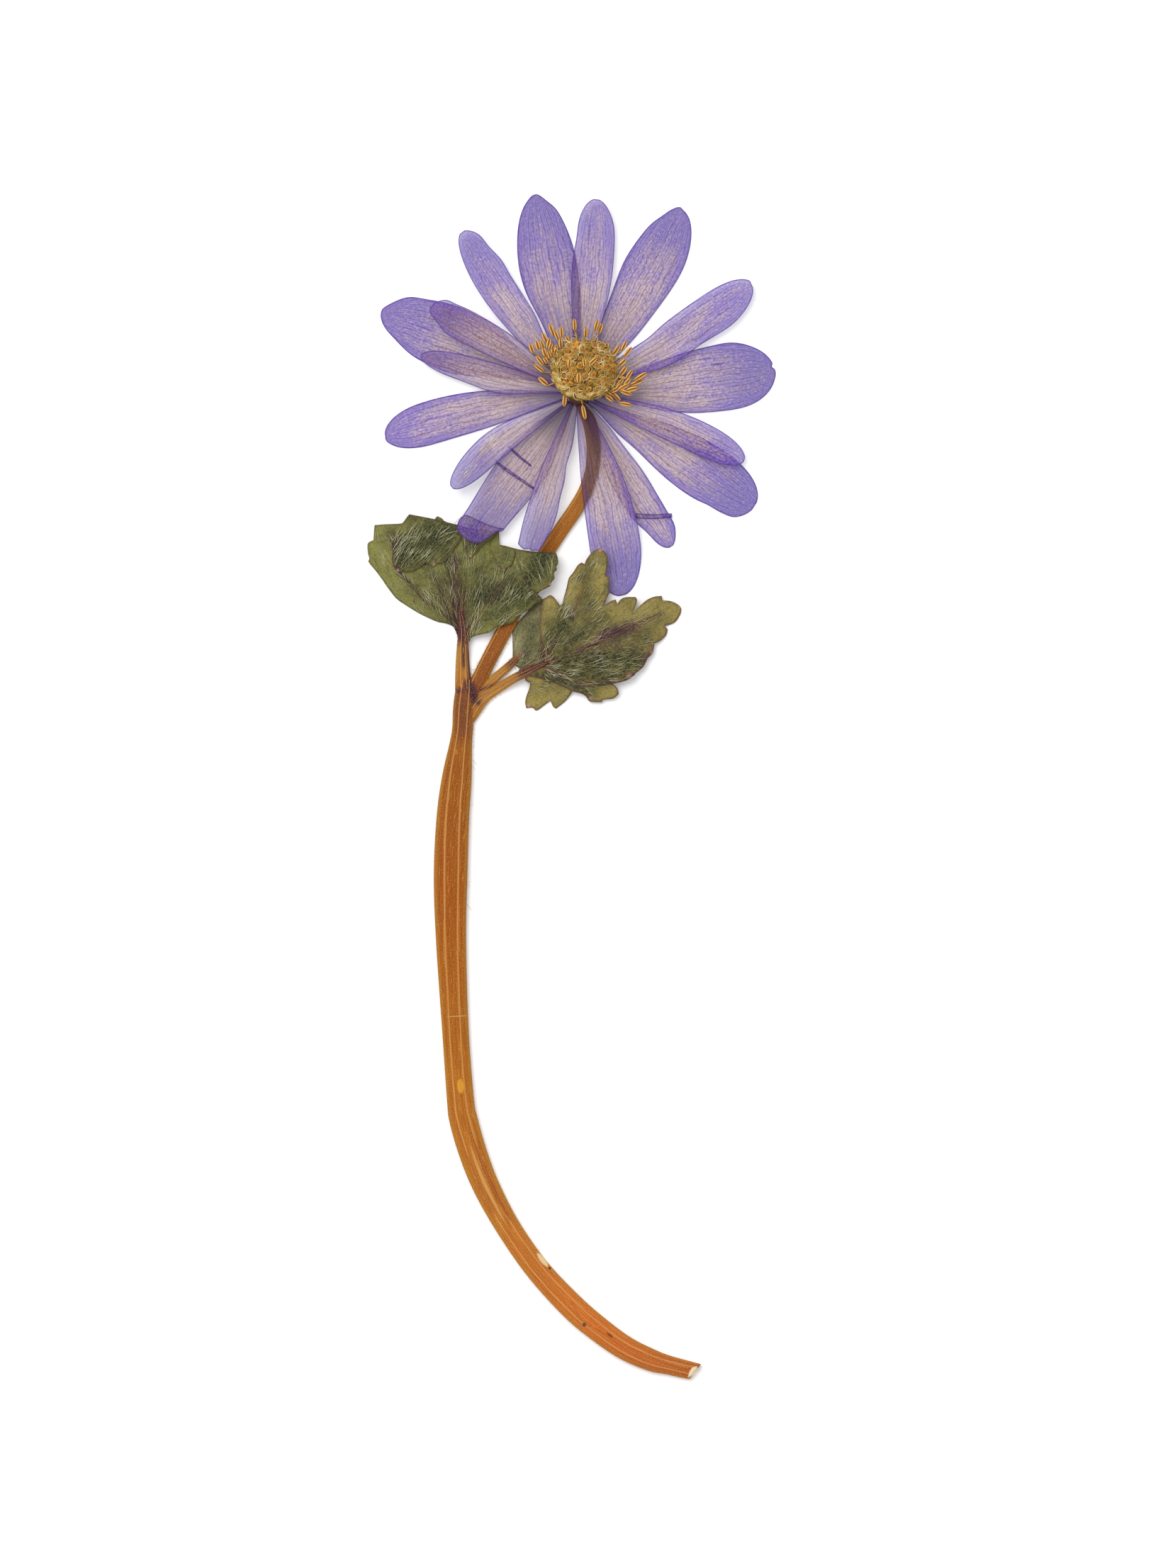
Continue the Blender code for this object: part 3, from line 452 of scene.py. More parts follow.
LEAF_CELL = 0.28
LEAF_CLEARANCE = 0.06
LEAF_BEVEL = 0.7
LEAF_RIPPLE, RIPPLES_PER_MM, RIPPLE_FROM_RIM = 0.07, 0.45, 1.5
LEAF_CREASE, CREASES_PER_MM, CREASE_FROM_RIM = 0.035, 1.7, 0.5
RED_VEIN_RISE = 0.05
SHARP_CORNER = 50


def soften(outline):
    """Round an outline between its corners, and keep the corners themselves sharp."""
    points = np.asarray(outline, float)
    ahead = np.roll(points, -1, axis=0) - points
    behind = points - np.roll(points, 1, axis=0)
    turn = np.abs(np.angle((ahead[:, 0] + 1j * ahead[:, 1]) / (behind[:, 0] + 1j * behind[:, 1])))
    sharp = np.degrees(turn) > SHARP_CORNER
    soft = []
    for i, here in enumerate(points):
        j = (i + 1) % len(points)
        there = points[j]
        leave, arrive = (ahead[i] if sharp[k] else (ahead[k] + behind[k]) / 2 for k in (i, j))
        for t in (0, 1 / 3, 2 / 3):
            soft.append(here * (2 * t ** 3 - 3 * t ** 2 + 1) + leave * (t ** 3 - 2 * t ** 2 + t)
                        + there * (3 * t ** 2 - 2 * t ** 3) + arrive * (t ** 3 - t ** 2))
    return np.array(soft)


def close_line(outline):
    """An outline with its first point again at its end."""
    return np.vstack([outline, outline[:1]])


def inside(points, outline):
    """Which points lie within the outline."""
    x, y = np.asarray(points, float)[:, 0], np.asarray(points, float)[:, 1]
    within = np.zeros(len(x), bool)
    for (x0, y0), (x1, y1) in zip(outline, np.roll(outline, -1, axis=0)):
        crosses = (y0 > y) != (y1 > y)
        where = x0 + (y - y0) * (x1 - x0) / ((y1 - y0) if y1 != y0 else 1e-12)
        within ^= crosses & (x < where)
    return within


def fill_outline(rim, cell, seed):
    """A fine triangle mesh inside an outline: its points and its triangles, face up."""
    draw = np.random.default_rng(seed)
    low, high = rim.min(axis=0), rim.max(axis=0)
    x, y = np.meshgrid(np.arange(low[0], high[0], cell), np.arange(low[1], high[1], cell * 0.87))
    x[1::2] += cell / 2
    grid = np.column_stack([x.ravel(), y.ravel()])
    grid += draw.uniform(-0.17, 0.17, grid.shape) * cell
    grid = grid[inside(grid, rim) & (gap_to_line(grid, close_line(rim)) > cell * 0.45)]
    borders = [(i, (i + 1) % len(rim)) for i in range(len(rim))]
    places, _, triangles, *_ = geometry.delaunay_2d_cdt(
        [Vector(spot) for spot in np.vstack([rim, grid])], borders, [], 1, 1e-6)
    places = np.array([tuple(spot) for spot in places])
    face_up = []
    for a, b, c in triangles:
        (xa, ya), (xb, yb), (xc, yc) = places[a], places[b], places[c]
        turns_left = (xb - xa) * (yc - ya) - (xc - xa) * (yb - ya) > 0
        face_up.append((a, b, c) if turns_left else (a, c, b))
    return places, face_up


def thin_sheet(places, triangles, top, under):
    """Close a flat mesh into a thin sheet: its points, and its faces with the side wall."""
    count = len(places)
    points = np.vstack([np.column_stack([places, top]), np.column_stack([places, under])])
    faces = [tuple(face) for face in triangles]
    faces += [tuple(count + i for i in face[::-1]) for face in triangles]
    edges = {(face[i], face[(i + 1) % len(face)]) for face in triangles for i in range(len(face))}
    faces += [(b, a, count + a, count + b) for a, b in sorted(edges) if (b, a) not in edges]
    return points, faces


def make_blade(name, outline, underside, skin, red, dark, light, tips, seed):
    """A thin leaf blade over an underside height, with its coloured strokes and pale tips."""
    rim = soften(outline)
    places, triangles = fill_outline(rim, LEAF_CELL, seed)
    gap = gap_to_line(places, close_line(rim))
    ripple, crease = (np.array([noise.noise(Vector((x * often, y * often, seed)))
                                for x, y in places]) for often in (RIPPLES_PER_MM, CREASES_PER_MM))
    reds = strength(places, red)
    thick = LEAF_RIM_THICKNESS + (LEAF_THICKNESS - LEAF_RIM_THICKNESS) * ease(gap / LEAF_BEVEL)
    under = underside(places[:, 0], places[:, 1]) + LEAF_CLEARANCE
    under = under + LEAF_RIPPLE * (ripple + 0.8) * ease(gap / RIPPLE_FROM_RIM)
    top = under + thick + LEAF_CREASE * crease * ease(gap / CREASE_FROM_RIM) + RED_VEIN_RISE * reds
    points, faces = thin_sheet(places, triangles, top, under)
    marks = np.column_stack([gap, reds, strength(places, dark)])
    tones = np.column_stack([strength(places, light), strength(places, tips),
                             np.zeros(len(places))])
    return make_piece(name, points, faces, skin, {
        "marks": np.vstack([marks, marks]), "tones": np.vstack([tones, tones])})


# Dried leaf: a soft, felted blade dried matt. It gives the eye a mottled olive with a fine pale
# net of veinlets 0.6 mm apart, red brown by the veins, a dark red line along the rim, small dark
# specks and pale tips to its teeth.
LEAF_CLOUDS = 2.222
LEAF_FELT = 0.2941
VEINLETS_APART = 0.5882
SPECKS_APART = 1.923


def leaf_skin(name, light, middle, dark, red, rim, rim_share):
    """A dried leaf's skin in its own five colours, and how strong its rim line is."""
    skin, tree, shader = new_skin(name, 0.72, 1.4)
    marks, tones = (add(tree, "SeparateXYZ", {
        0: (add(tree, "Attribute", attribute_name=label), "Vector")})
        for label in ("marks", "tones"))
    at = (add(tree, "TexCoord"), "Object")
    broad = add(tree, "TexNoise", {"Vector": at, "Scale": 1 / (LEAF_CLOUDS * MM), "Detail": 3.0})
    fine = add(tree, "TexNoise", {"Vector": at, "Scale": 1 / (LEAF_FELT * MM), "Detail": 4.0,
                                  "Roughness": 0.65})
    veinlets = add(tree, "TexVoronoi", {"Vector": at, "Scale": 1 / (VEINLETS_APART * MM)},
                   feature="DISTANCE_TO_EDGE")
    net = add(tree, "MapRange", {"Value": veinlets, "From Min": 0.1, "From Max": 0.0})
    specks = add(tree, "TexVoronoi", {"Vector": at, "Scale": 1 / (SPECKS_APART * MM),
                                      "Randomness": 1.0})
    rim_line = add(tree, "MapRange", {"Value": (marks, "X"), "From Min": 0.3, "From Max": 0.05,
                                      "To Max": rim_share})
    # Dark strokes, some painted shade, red strokes and the rim line, each broken up by a pattern
    darkness, redness, rim_here = (add(tree, "Math", {
        0: stroke,
        1: add(tree, "MapRange", {"Value": pattern, "From Min": start, "From Max": full,
                                  "To Min": least, "To Max": 1.0})}, operation="MULTIPLY")
        for stroke, pattern, start, full, least in (
            ((marks, "Z"), fine, 0.25, 0.6, 0.55), ((marks, "Y"), fine, 0.3, 0.62, 0.35),
            (rim_line, broad, 0.3, 0.6, 0.3)))
    body = lay_colours(tree, middle, (
        (broad, 0.36, 0.62, 1.0, light), ((tones, "X"), 0.0, 1.0, 1.0, light),
        (darkness, 0.0, 1.0, 1.0, dark), (fine, 0.5, 0.7, 0.55, dark), (fine, 0.46, 0.3, 0.3, light),
        (net, 0.0, 1.0, 0.22, "A9A472"), (redness, 0.0, 1.0, 1.0, red),
        (rim_here, 0.0, 1.0, 1.0, rim), (specks, 0.075, 0.05, 0.8, "2A2A18"),
        ((tones, "Y"), 0.0, 1.0, 1.0, "C99A86")))
    tree.links.new(body.outputs[2], shader.inputs["Base Color"])
    shader.inputs["Sheen Weight"].default_value = 0.12
    height = add(tree, "Math", {0: fine, 1: net}, operation="ADD")
    bump = add(tree, "Bump", {"Strength": 0.55, "Distance": 0.12 * MM, "Height": height})
    tree.links.new(bump.outputs["Normal"], shader.inputs["Normal"])
    return skin


left_skin = leaf_skin("dried_leaf_left", "848141", "4C4A29", "262A13", "4A2630", "50301F", 0.4)
right_skin = leaf_skin("dried_leaf_right", "998846", "544D2B", "2A2D15", "4E2638", "5C2A32",
                       0.7)
back_skin = leaf_skin("dried_leaf_back", "98916A", "706A44", "3C3E24", "4C3630", "4C3426", 0.5)

# The left leaf lies on the sheet and climbs over the pedicel that passes under its right side
OVER_STALK = 1.25
STALK_RAMP = 4.5
STALK_SIDE = 0.55
STALK_GAP = 0.3
STALK_LEFT_SIDE = [(y, x - STALK_SIDE * width - STALK_GAP) for x, y, width in PEDICEL]
FOLD_RISE = 0.4


def left_underside(x, y):
    """Flat at the left, and up over the pedicel."""
    ys, xs = zip(*STALK_LEFT_SIDE)
    return OVER_STALK * rise(np.interp(y, ys, xs) - x, STALK_RAMP, 0.0)


def left_fold_underside(x, y):
    """The folded lobes lie on the blade."""
    return left_underside(x, y) + FOLD_RISE


# Its coloured strokes, each a line, its reach and its strength: red by the veins, dark in the
# hollows, light where the blade is worn
LEFT_RED = (
    (((-12.5, 16.6), (-12.6, 19.5)), 0.85, 1.0),
    (((-12.7, 19.0), (-13.1, 22.0)), 1.1, 0.75),
    (((-13.0, 21.0), (-13.3, 25.8)), 0.65, 0.6),
    (((-12.9, 17.6), (-14.2, 20.4), (-15.3, 23.4)), 0.4, 0.6),
    (((-11.9, 19.0), (-11.8, 22.4)), 0.35, 0.5),
    (((-8.9, 21.4), (-7.6, 23.2)), 0.25, 0.6),
    (((-19.4, 24.2), (-17.4, 22.0), (-15.6, 20.4)), 0.25, 0.55))
LEFT_DARK = (
    (((-13.14, 17.96), (-14.1, 19.44), (-15.43, 20.33), (-16.62, 21.07), (-17.8, 22.55),
      (-19.28, 24.1)), 0.3, 0.8),
    (((-12.6, 18.0), (-13.4, 23.5)), 2.6, 0.7),
    (((-11.0, 18.3), (-8.0, 19.9), (-4.2, 21.5)), 0.9, 0.9),
    (((-9.4, 22.0), (-8.4, 24.2)), 1.7, 0.6),
    (((-14.6, 19.6), (-17.6, 22.6)), 1.2, 0.6),
    (((-10.4, 21.4), (-5.4, 21.9)), 1.9, 1.1),
    (((-8.4, 22.6), (-6.6, 23.4)), 1.0, 1.0))
LEFT_LIGHT = (
    (((-22.6, 27.0), (-21.4, 24.9), (-19.0, 22.1), (-15.8, 19.8)), 1.4, 1.0),
    (((-10.4, 18.2), (-8.9, 19.3)), 0.7, 1.0),
    (((-11.9, 22.0), (-11.7, 23.6)), 0.5, 0.6),
    (((-21.6, 29.0), (-21.0, 27.5)), 0.8, 0.4),
    (((-9.5, 24.5), (-10.5, 26.5)), 0.7, 0.3))
# The folded lobes' own strokes
LOBE_DARK_AND_SHADE = (
    (((-18.8, 26.2), (-14.4, 28.9)), 2.4, 1.15),
    # Painted shade of the pedicel under the blade, a dark band across the last lobe
    (((-3.0, 26.3), (-5.0, 23.2)), 1.4, 1.1),
    (((-8.0, 25.2), (-7.3, 26.0)), 0.9, 0.6),
    (((-11.9, 27.0), (-10.0, 28.2)), 0.9, 0.6))
# The teeth end in pale pinkish glands
LOBE_TIPS, RIGHT_TIPS = (
    tuple(((spot, (spot[0] + 0.1, spot[1] + 0.08)), reach, share) for spot in spots)
    for reach, share, spots in (
        (0.11, 0.9, ((-19.7, 24.38), (-15.6, 25.05), (-11.55, 26.0), (-7.62, 24.36),
                     (-2.4, 22.85))),
        (0.16, 0.8, ((3.2, 26.75), (12.2, 20.3), (9.1, 15.2), (6.4, 12.6), (2.2, 10.0),
                     (-4.9, 9.2)))))
LOBE_RED = (
    (((-20.2, 29.0), (-20.15, 26.0), (-19.8, 24.5)), 0.25, 0.8),
    (((-19.75, 24.35), (-19.6, 24.4)), 0.3, 0.9),
    (((-15.7, 24.95), (-15.6, 25.0)), 0.25, 0.9),
    (((-11.56, 25.9), (-11.5, 26.0)), 0.3, 0.9),
    (((-7.62, 24.3), (-7.6, 24.4)), 0.28, 0.9),
    (((-2.3, 22.8), (-2.2, 22.95)), 0.28, 0.9))

leaf_left = make_blade("leaf_left_blade", LEAF_LEFT, left_underside, left_skin,
                       LEFT_RED, LEFT_DARK, LEFT_LIGHT, tips=(), seed=11)
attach(leaf_left, "root")
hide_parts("leaf_left")
for number, lobe in enumerate(FOLDED_LOBES, 1):
    fold = make_blade("leaf_left_fold_%d" % number, lobe, left_fold_underside, left_skin,
                      LOBE_RED, LOBE_DARK_AND_SHADE, (), LOBE_TIPS, seed=20 + number)
    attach(fold, "root")
    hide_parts("leaf_left")

# The right leaf lies over the back one and over the tip of a tepal
RIGHT_RED = (
    (((0.6, 15.3), (2.6, 16.3), (4.4, 17.1)), 0.42, 0.85),
    (((3.4, 16.9), (5.2, 17.7), (7.0, 18.2)), 0.75, 1.15),
    (((3.8, 16.6), (5.6, 17.3)), 0.9, 0.6),
    (((6.8, 18.1), (8.4, 18.9), (10.2, 19.7)), 0.3, 0.75),
    (((2.0, 15.2), (5.4, 15.9)), 0.7, 0.3),
    (((-5.2, 13.1), (-2.6, 14.3)), 0.6, 0.9),
    (((-3.1, 14.3), (-2.5, 15.6), (-1.9, 16.6)), 0.35, 0.6),
    (((0.2, 19.4), (0.7, 21.2)), 0.35, 0.55), (((3.26, 26.9), (3.2, 26.7)), 0.25, 0.9),
    (((8.2, 14.6), (9.0, 15.4)), 0.5, 0.7), (((7.0, 16.0), (8.6, 16.2)), 0.5, 0.35))
RIGHT_DARK = (
    (((-3.2, 14.6), (-1.8, 17.2), (-0.6, 18.6)), 1.5, 1.1),
    (((-1.0, 14.4), (3.0, 14.4), (6.8, 14.6)), 1.9, 1.15),
    (((3.4, 17.6), (6.6, 17.2), (8.6, 16.8)), 1.0, 0.7),
    (((-3.2, 13.4), (2.5, 12.6), (5.8, 12.9)), 0.9, 1.0),
    (((0.0, 16.6), (3.4, 19.0)), 1.1, 0.9),
    (((-3.5, 14.7), (-3.2, 14.5)), 0.5, 1.0),
    (((1.4, 21.6), (1.9, 25.0)), 0.9, 0.45))
RIGHT_LIGHT = (
    (((2.8, 26.0), (1.2, 22.5), (0.0, 20.0)), 1.3, 0.12),
    (((5.0, 19.4), (8.5, 20.0), (11.4, 20.0)), 1.6, 0.85),
    (((9.5, 17.4), (8.8, 16.8)), 0.9, 0.5),
    (((-4.4, 9.8), (-1.8, 10.4)), 1.5, 1.0),
    (((-2.5, 21.0), (-2.1, 19.4)), 0.9, 0.9))
LOWER_LOBE_DARK = ((((-3.8, 12.6), (-0.9, 12.2), (1.6, 10.8)), 1.2, 1.0),)
LOWER_LOBE_LIGHT = ((((3.4, 10.4), (4.9, 10.8)), 0.9, 1.0),)
# Painted shade along the rolled rim
ROLLED_RIM_SHADE = ((((-3.0, 13.2), (1.0, 11.9), (7.0, 12.8)), 1.0, 0.9),)
ROLLED_RED = ((((3.5, 11.7), (7.1, 12.7)), 0.12, 0.8),)

# How high it lies over the back leaf and how much higher over the tepal, and where each rise
# starts and is full, in X and in Y
OVER_BACK_LEAF = 0.95
OVER_TEPAL_TIP = 0.75
BACK_LEAF_X, BACK_LEAF_Y = (11.5, 7.5), (9.5, 12.5)
TEPAL_TIP_X, TEPAL_TIP_Y = (5.0, 4.2), (22.2, 26.8)
LOWER_LOBE_RISE = 0.35
ROLLED_RIM_RISE = 0.3
ROLLED_RIM_EXTRA = 0.25
ROLLED_RIM_X = (6.0, 4.5)


def right_underside(x, y):
    """Up over the back leaf, down at its outer and lower lobes, up over a tepal at the top."""
    base = OVER_BACK_LEAF * rise(x, *BACK_LEAF_X) * rise(y, *BACK_LEAF_Y)
    return base + OVER_TEPAL_TIP * np.interp(y, TEPAL_TIP_Y, (0, 1)) * rise(x, *TEPAL_TIP_X)


def lower_lobe_underside(x, y):
    """On the blade."""
    return right_underside(x, y) + LOWER_LOBE_RISE


def rolled_rim_underside(x, y):
    """On the lower lobe, and down to the blade at its right end."""
    return right_underside(x, y) + ROLLED_RIM_RISE + ROLLED_RIM_EXTRA * rise(x, *ROLLED_RIM_X)


def back_underside(x, y):
    """Flat on the sheet."""
    return 0.0 * x


leaf_right = make_blade("leaf_right_blade", LEAF_RIGHT, right_underside, right_skin,
                        RIGHT_RED, RIGHT_DARK, RIGHT_LIGHT, RIGHT_TIPS, seed=31)
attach(leaf_right, "root")
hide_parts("leaf_right")
for name, outline, underside, red, dark, light, seed in (
        ("leaf_right_lower_lobe", LOWER_LOBE, lower_lobe_underside, (), LOWER_LOBE_DARK,
         LOWER_LOBE_LIGHT, 32),
        ("leaf_right_rolled_rim", ROLLED_RIM, rolled_rim_underside, ROLLED_RED, ROLLED_RIM_SHADE,
         (), 33)):
    lobe = make_blade(name, outline, underside, right_skin, red, dark, light, RIGHT_TIPS, seed)
    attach(lobe, "root")
    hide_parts("leaf_right")
leaf_back = make_blade("leaf_back_blade", LEAF_BACK, back_underside, back_skin,
                       red=((((-6.2, 14.6), (-5.2, 15.2)), 0.5, 0.7),),
                       dark=((((-5.2, 14.0), (-4.4, 18.4)), 0.8, 0.8),), light=(), tips=(),
                       seed=41)
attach(leaf_back, "root")
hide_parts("leaf_back")

# The leaves' veins. Each petiole's bundles run on into the blade and part into its lobes. Dried
# they stand out as thin red-brown ribs on the blade.
VEINS_LEFT = (
    ((-12.5, 16.4), (-12.9, 18.0), (-13.36, 20.04), (-13.51, 21.66), (-13.66, 22.99),
     (-14.03, 24.92)),
    ((-12.3, 15.8), (-12.55, 18.56), (-12.7, 20.92), (-12.85, 22.99), (-13.1, 24.62),
     (-13.29, 26.4)),
    ((-12.2, 15.8), (-12.3, 17.4), (-12.21, 19.15), (-12.15, 21.22), (-11.88, 23.88)),
    ((-12.0, 16.2), (-11.44, 18.26), (-10.4, 19.74), (-8.92, 21.96), (-7.22, 24.03)),
    ((-12.7, 17.0), (-13.29, 18.26), (-14.25, 20.92), (-14.99, 22.99), (-15.66, 24.33)),
    ((-12.8, 17.2), (-13.5, 18.5), (-14.8, 20.0), (-16.62, 21.07), (-17.8, 22.55),
     (-19.28, 24.1)),
    ((-12.6, 18.2), (-12.9, 20.0), (-12.4, 22.4), (-12.6, 23.8)),
    ((-13.0, 19.4), (-13.4, 21.0), (-14.3, 23.6)))
VEINS_RIGHT = (
    ((-3.2, 14.1), (-1.7, 14.5), (0.1, 15.15), (1.2, 15.6), (2.55, 16.2), (4.0, 17.0),
     (5.5, 17.7), (6.7, 18.1), (8.0, 18.75), (9.4, 19.4)),
    ((-3.1, 14.3), (-2.6, 15.2), (-1.9, 16.3), (-1.3, 17.6)),
    ((2.2, 16.0), (3.6, 16.4), (5.2, 17.2), (6.4, 17.6)))
PALE_VEINS_LEFT = (
    ((-12.2, 15.1), (-12.35, 16.6), (-12.6, 18.0), (-13.0, 19.4), (-13.2, 20.6)),
    ((-11.6, 15.2), (-11.6, 16.9), (-11.75, 17.3), (-12.1, 18.3), (-12.3, 20.6), (-12.4, 22.0)),
    ((-11.6, 17.0), (-11.35, 17.6), (-10.6, 18.8), (-9.6, 20.3), (-8.9, 21.6)),
    ((-11.5, 17.3), (-10.9, 19.2), (-10.2, 20.4), (-9.9, 21.6)))
PALE_VEINS_RIGHT = (
    ((-4.2, 13.5), (-3.0, 14.2), (-2.25, 15.1), (-1.6, 16.35), (-0.9, 17.6), (-0.4, 18.6)),
    ((-3.4, 13.8), (-1.9, 14.3), (-0.7, 14.85), (0.3, 15.25), (1.6, 15.8)),
    ((0.6, 20.2), (1.0, 21.5), (1.4, 22.9), (2.0, 24.4), (2.8, 26.1)),
    ((-3.0, 14.1), (-2.8, 15.9), (-2.5, 17.2)))
VEIN_WIDTH = 0.14
BUNDLE_WIDTH = 0.1
VEIN_RISE = 0.44
VEIN_STEP = 0.4
VEIN_SWAY = 0.03
THREAD_SIDES = 3
THREAD_TAPER = 0.75


def make_threads(name, strands, width, skin):
    """Thin tapering threads through each strand's points, all in one piece."""
    turns = math.pi / 2 + 2 * math.pi * np.arange(THREAD_SIDES) / THREAD_SIDES
    points, faces, start = [], [], 0
    for strand in strands:
        strand = np.asarray(strand, float)
        count = len(strand)
        ahead = np.gradient(strand, axis=0)
        ahead /= np.linalg.norm(ahead, axis=1)[:, None]
        side = np.column_stack([ahead[:, 1], -ahead[:, 0], np.zeros(count)])
        side /= np.linalg.norm(side, axis=1)[:, None] + 1e-9
        up = np.cross(side, ahead)
        radius = width / 2 * (1 - THREAD_TAPER * np.linspace(0, 1, count) ** 2)
        rings = (side[:, None] * np.cos(turns)[None, :, None]
                 + up[:, None] * np.sin(turns)[None, :, None])
        points.append((strand[:, None] + radius[:, None, None] * rings).reshape(-1, 3))
        faces += ring_walls(start, count, THREAD_SIDES) + ring_ends(start, count, THREAD_SIDES)
        start += count * THREAD_SIDES
    return make_piece(name, np.vstack(points), faces, skin)


def patchy_skin(name, roughness, ior, patch, detail, ramp):
    """A skin whose colour wanders along a ramp, in patches of a size in millimetres."""
    skin, tree, shader = new_skin(name, roughness, ior)
    patches = add(tree, "TexNoise", {"Vector": (add(tree, "TexCoord"), "Object"),
                                     "Scale": 1 / (patch * MM), "Detail": detail})
    colours = add(tree, "ValToRGB", {0: patches}, ramp=ramp)
    tree.links.new(colours.outputs[0], shader.inputs["Base Color"])
    return skin


# Dried vein: plant fibre under the same skin. It gives the eye a dull dark red-brown line, which
# pales in patches.
vein_skin = patchy_skin("dried_vein", roughness=0.6, ior=1.4, patch=2.381, detail=3.0,
                        ramp=((0.36, "4A2430"), (0.5, "5E3438"), (0.64, "74583E")))

# Dried bundle: the same without its skin. It gives the eye a thin tan line.
bundle_skin = patchy_skin("dried_bundle", roughness=0.6, ior=1.4, patch=2.381, detail=3.0,
                          ramp=((0.36, "8A6244"), (0.5, "B08058"), (0.64, "BFA070")))


def run_veins(name, veins, width, skin, underside, seed):
    """Veins laid on a blade, each with a little sway of its own."""
    draw = random.Random(seed)
    strands = []
    for vein in veins:
        route = smooth_route(vein, VEIN_STEP)
        route = route + np.array([[draw.gauss(0, VEIN_SWAY), draw.gauss(0, VEIN_SWAY)]
                                  for _ in route])
        level = underside(route[:, 0], route[:, 1]) + VEIN_RISE
        strands.append(np.column_stack([route, level]))
    ribs = make_threads(name, strands, width, skin)
    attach(ribs, "root")


run_veins("veins_left", VEINS_LEFT, VEIN_WIDTH, vein_skin, left_underside, 61)
run_veins("veins_right", VEINS_RIGHT, VEIN_WIDTH, vein_skin, right_underside, 62)
run_veins("bundles_left", PALE_VEINS_LEFT, BUNDLE_WIDTH, bundle_skin, left_underside,
          63)
run_veins("bundles_right", PALE_VEINS_RIGHT, BUNDLE_WIDTH, bundle_skin, right_underside,
          64)

# The leaves' hairs. Silky hairs 1 to 2.5 mm long that grow forward along the veins. Pressed flat
# they lie on the blade as pale curved threads, and a few stand out over its edge.
# Dried hair: hollow silky plant hair, bleached. It gives the eye a pale straw thread with a soft
# sheen. Real ones are 0.03 mm thick, drawn at 0.05 mm so that they show.
hair_skin = patchy_skin("dried_hair", roughness=0.45, ior=1.5, patch=2.0, detail=2.0,
                        ramp=((0.36, "7C7C52"), (0.5, "A8A676"), (0.64, "DEDAB6")))
HAIR_WIDTH = 0.048
HAIR_POINTS = 8
HAIR_APART = 0.17
HAIRS_OVER_RIM = 0.01
HAIRS_ELSEWHERE = 0.6
HAIR_BEND = 0.07
HAIR_WAVE = (0.02, 0.12)
HAIR_ARCH = 0.1
HAIR_CLEARANCE = 0.03
# Where they stand close, as strokes
LEFT_CROWD = (
    (((-11.0, 17.8), (-7.5, 19.4), (-3.5, 21.8)), 1.3, 1.0),
    (((-12.4, 17.5), (-11.0, 22.0), (-10.0, 26.5)), 1.8, 0.8),
    (((-22.3, 27.2), (-20.6, 23.4), (-14.2, 19.0)), 1.2, 0.9),
    (((-13.6, 19.6), (-18.4, 23.4)), 1.0, 0.7), (((-8.0, 21.0), (-6.5, 24.0)), 1.6, 0.8))
RIGHT_CROWD = (
    (((-3.0, 13.7), (2.0, 13.4), (6.8, 13.8)), 1.3, 1.0),
    (((-2.9, 14.2), (0.2, 17.2), (3.2, 19.8)), 1.2, 1.0),
    (((-3.2, 14.6), (-2.6, 18.6)), 1.1, 0.9),
    (((0.1, 15.1), (5.4, 17.4)), 0.9, 0.8), (((7.4, 14.6), (9.0, 16.4)), 1.0, 0.6),
    (((0.0, 14.4), (4.0, 14.4), (7.5, 15.0)), 1.6, 0.8))


def lay_hairs(seed, count, outline, base, underside, lift, spread, reach, crowd=None):
    """Hairs on a blade that point away from its base, each with a curl of its own."""
    draw = np.random.default_rng(seed)
    rim = np.asarray(outline, float)
    roots = draw.uniform(rim.min(axis=0), rim.max(axis=0), (count * 4, 2))
    roots = roots[inside(roots, rim)][:count]
    if crowd:
        stand = HAIRS_ELSEWHERE + (1 - HAIRS_ELSEWHERE) * strength(roots, crowd)
        roots = roots[draw.uniform(0, 1, len(roots)) < stand]
    apart = [root for number, root in enumerate(roots)
             if not number or np.hypot(*(roots[:number] - root).T).min() > HAIR_APART]
    roots = np.array(apart)
    count = len(roots)
    heading = np.arctan2(roots[:, 1] - base[1], roots[:, 0] - base[0])
    heading = heading + draw.normal(0, spread, count)
    step = draw.uniform(*reach, count) / (HAIR_POINTS - 1)
    bend = draw.normal(0, HAIR_BEND, count)
    wave, phase = draw.uniform(*HAIR_WAVE, count), draw.uniform(0, 6.3, count)
    x, y = roots.T
    strands = np.empty((count, HAIR_POINTS, 3))
    for index in range(HAIR_POINTS):
        arch = HAIR_ARCH * math.sin(math.pi * index / (HAIR_POINTS - 1))
        level = underside(x, y) + lift + HAIR_CLEARANCE + arch
        strands[:, index] = np.column_stack([x, y, level])
        turned = heading + bend * index + wave * np.sin(phase + index * 1.3)
        x, y = x + step * np.cos(turned), y + step * np.sin(turned)
    stays = inside(strands[:, -1, :2], rim) & inside(strands[:, -3, :2], rim)
    stays |= draw.uniform(0, 1, count) < HAIRS_OVER_RIM
    return list(strands[stays])


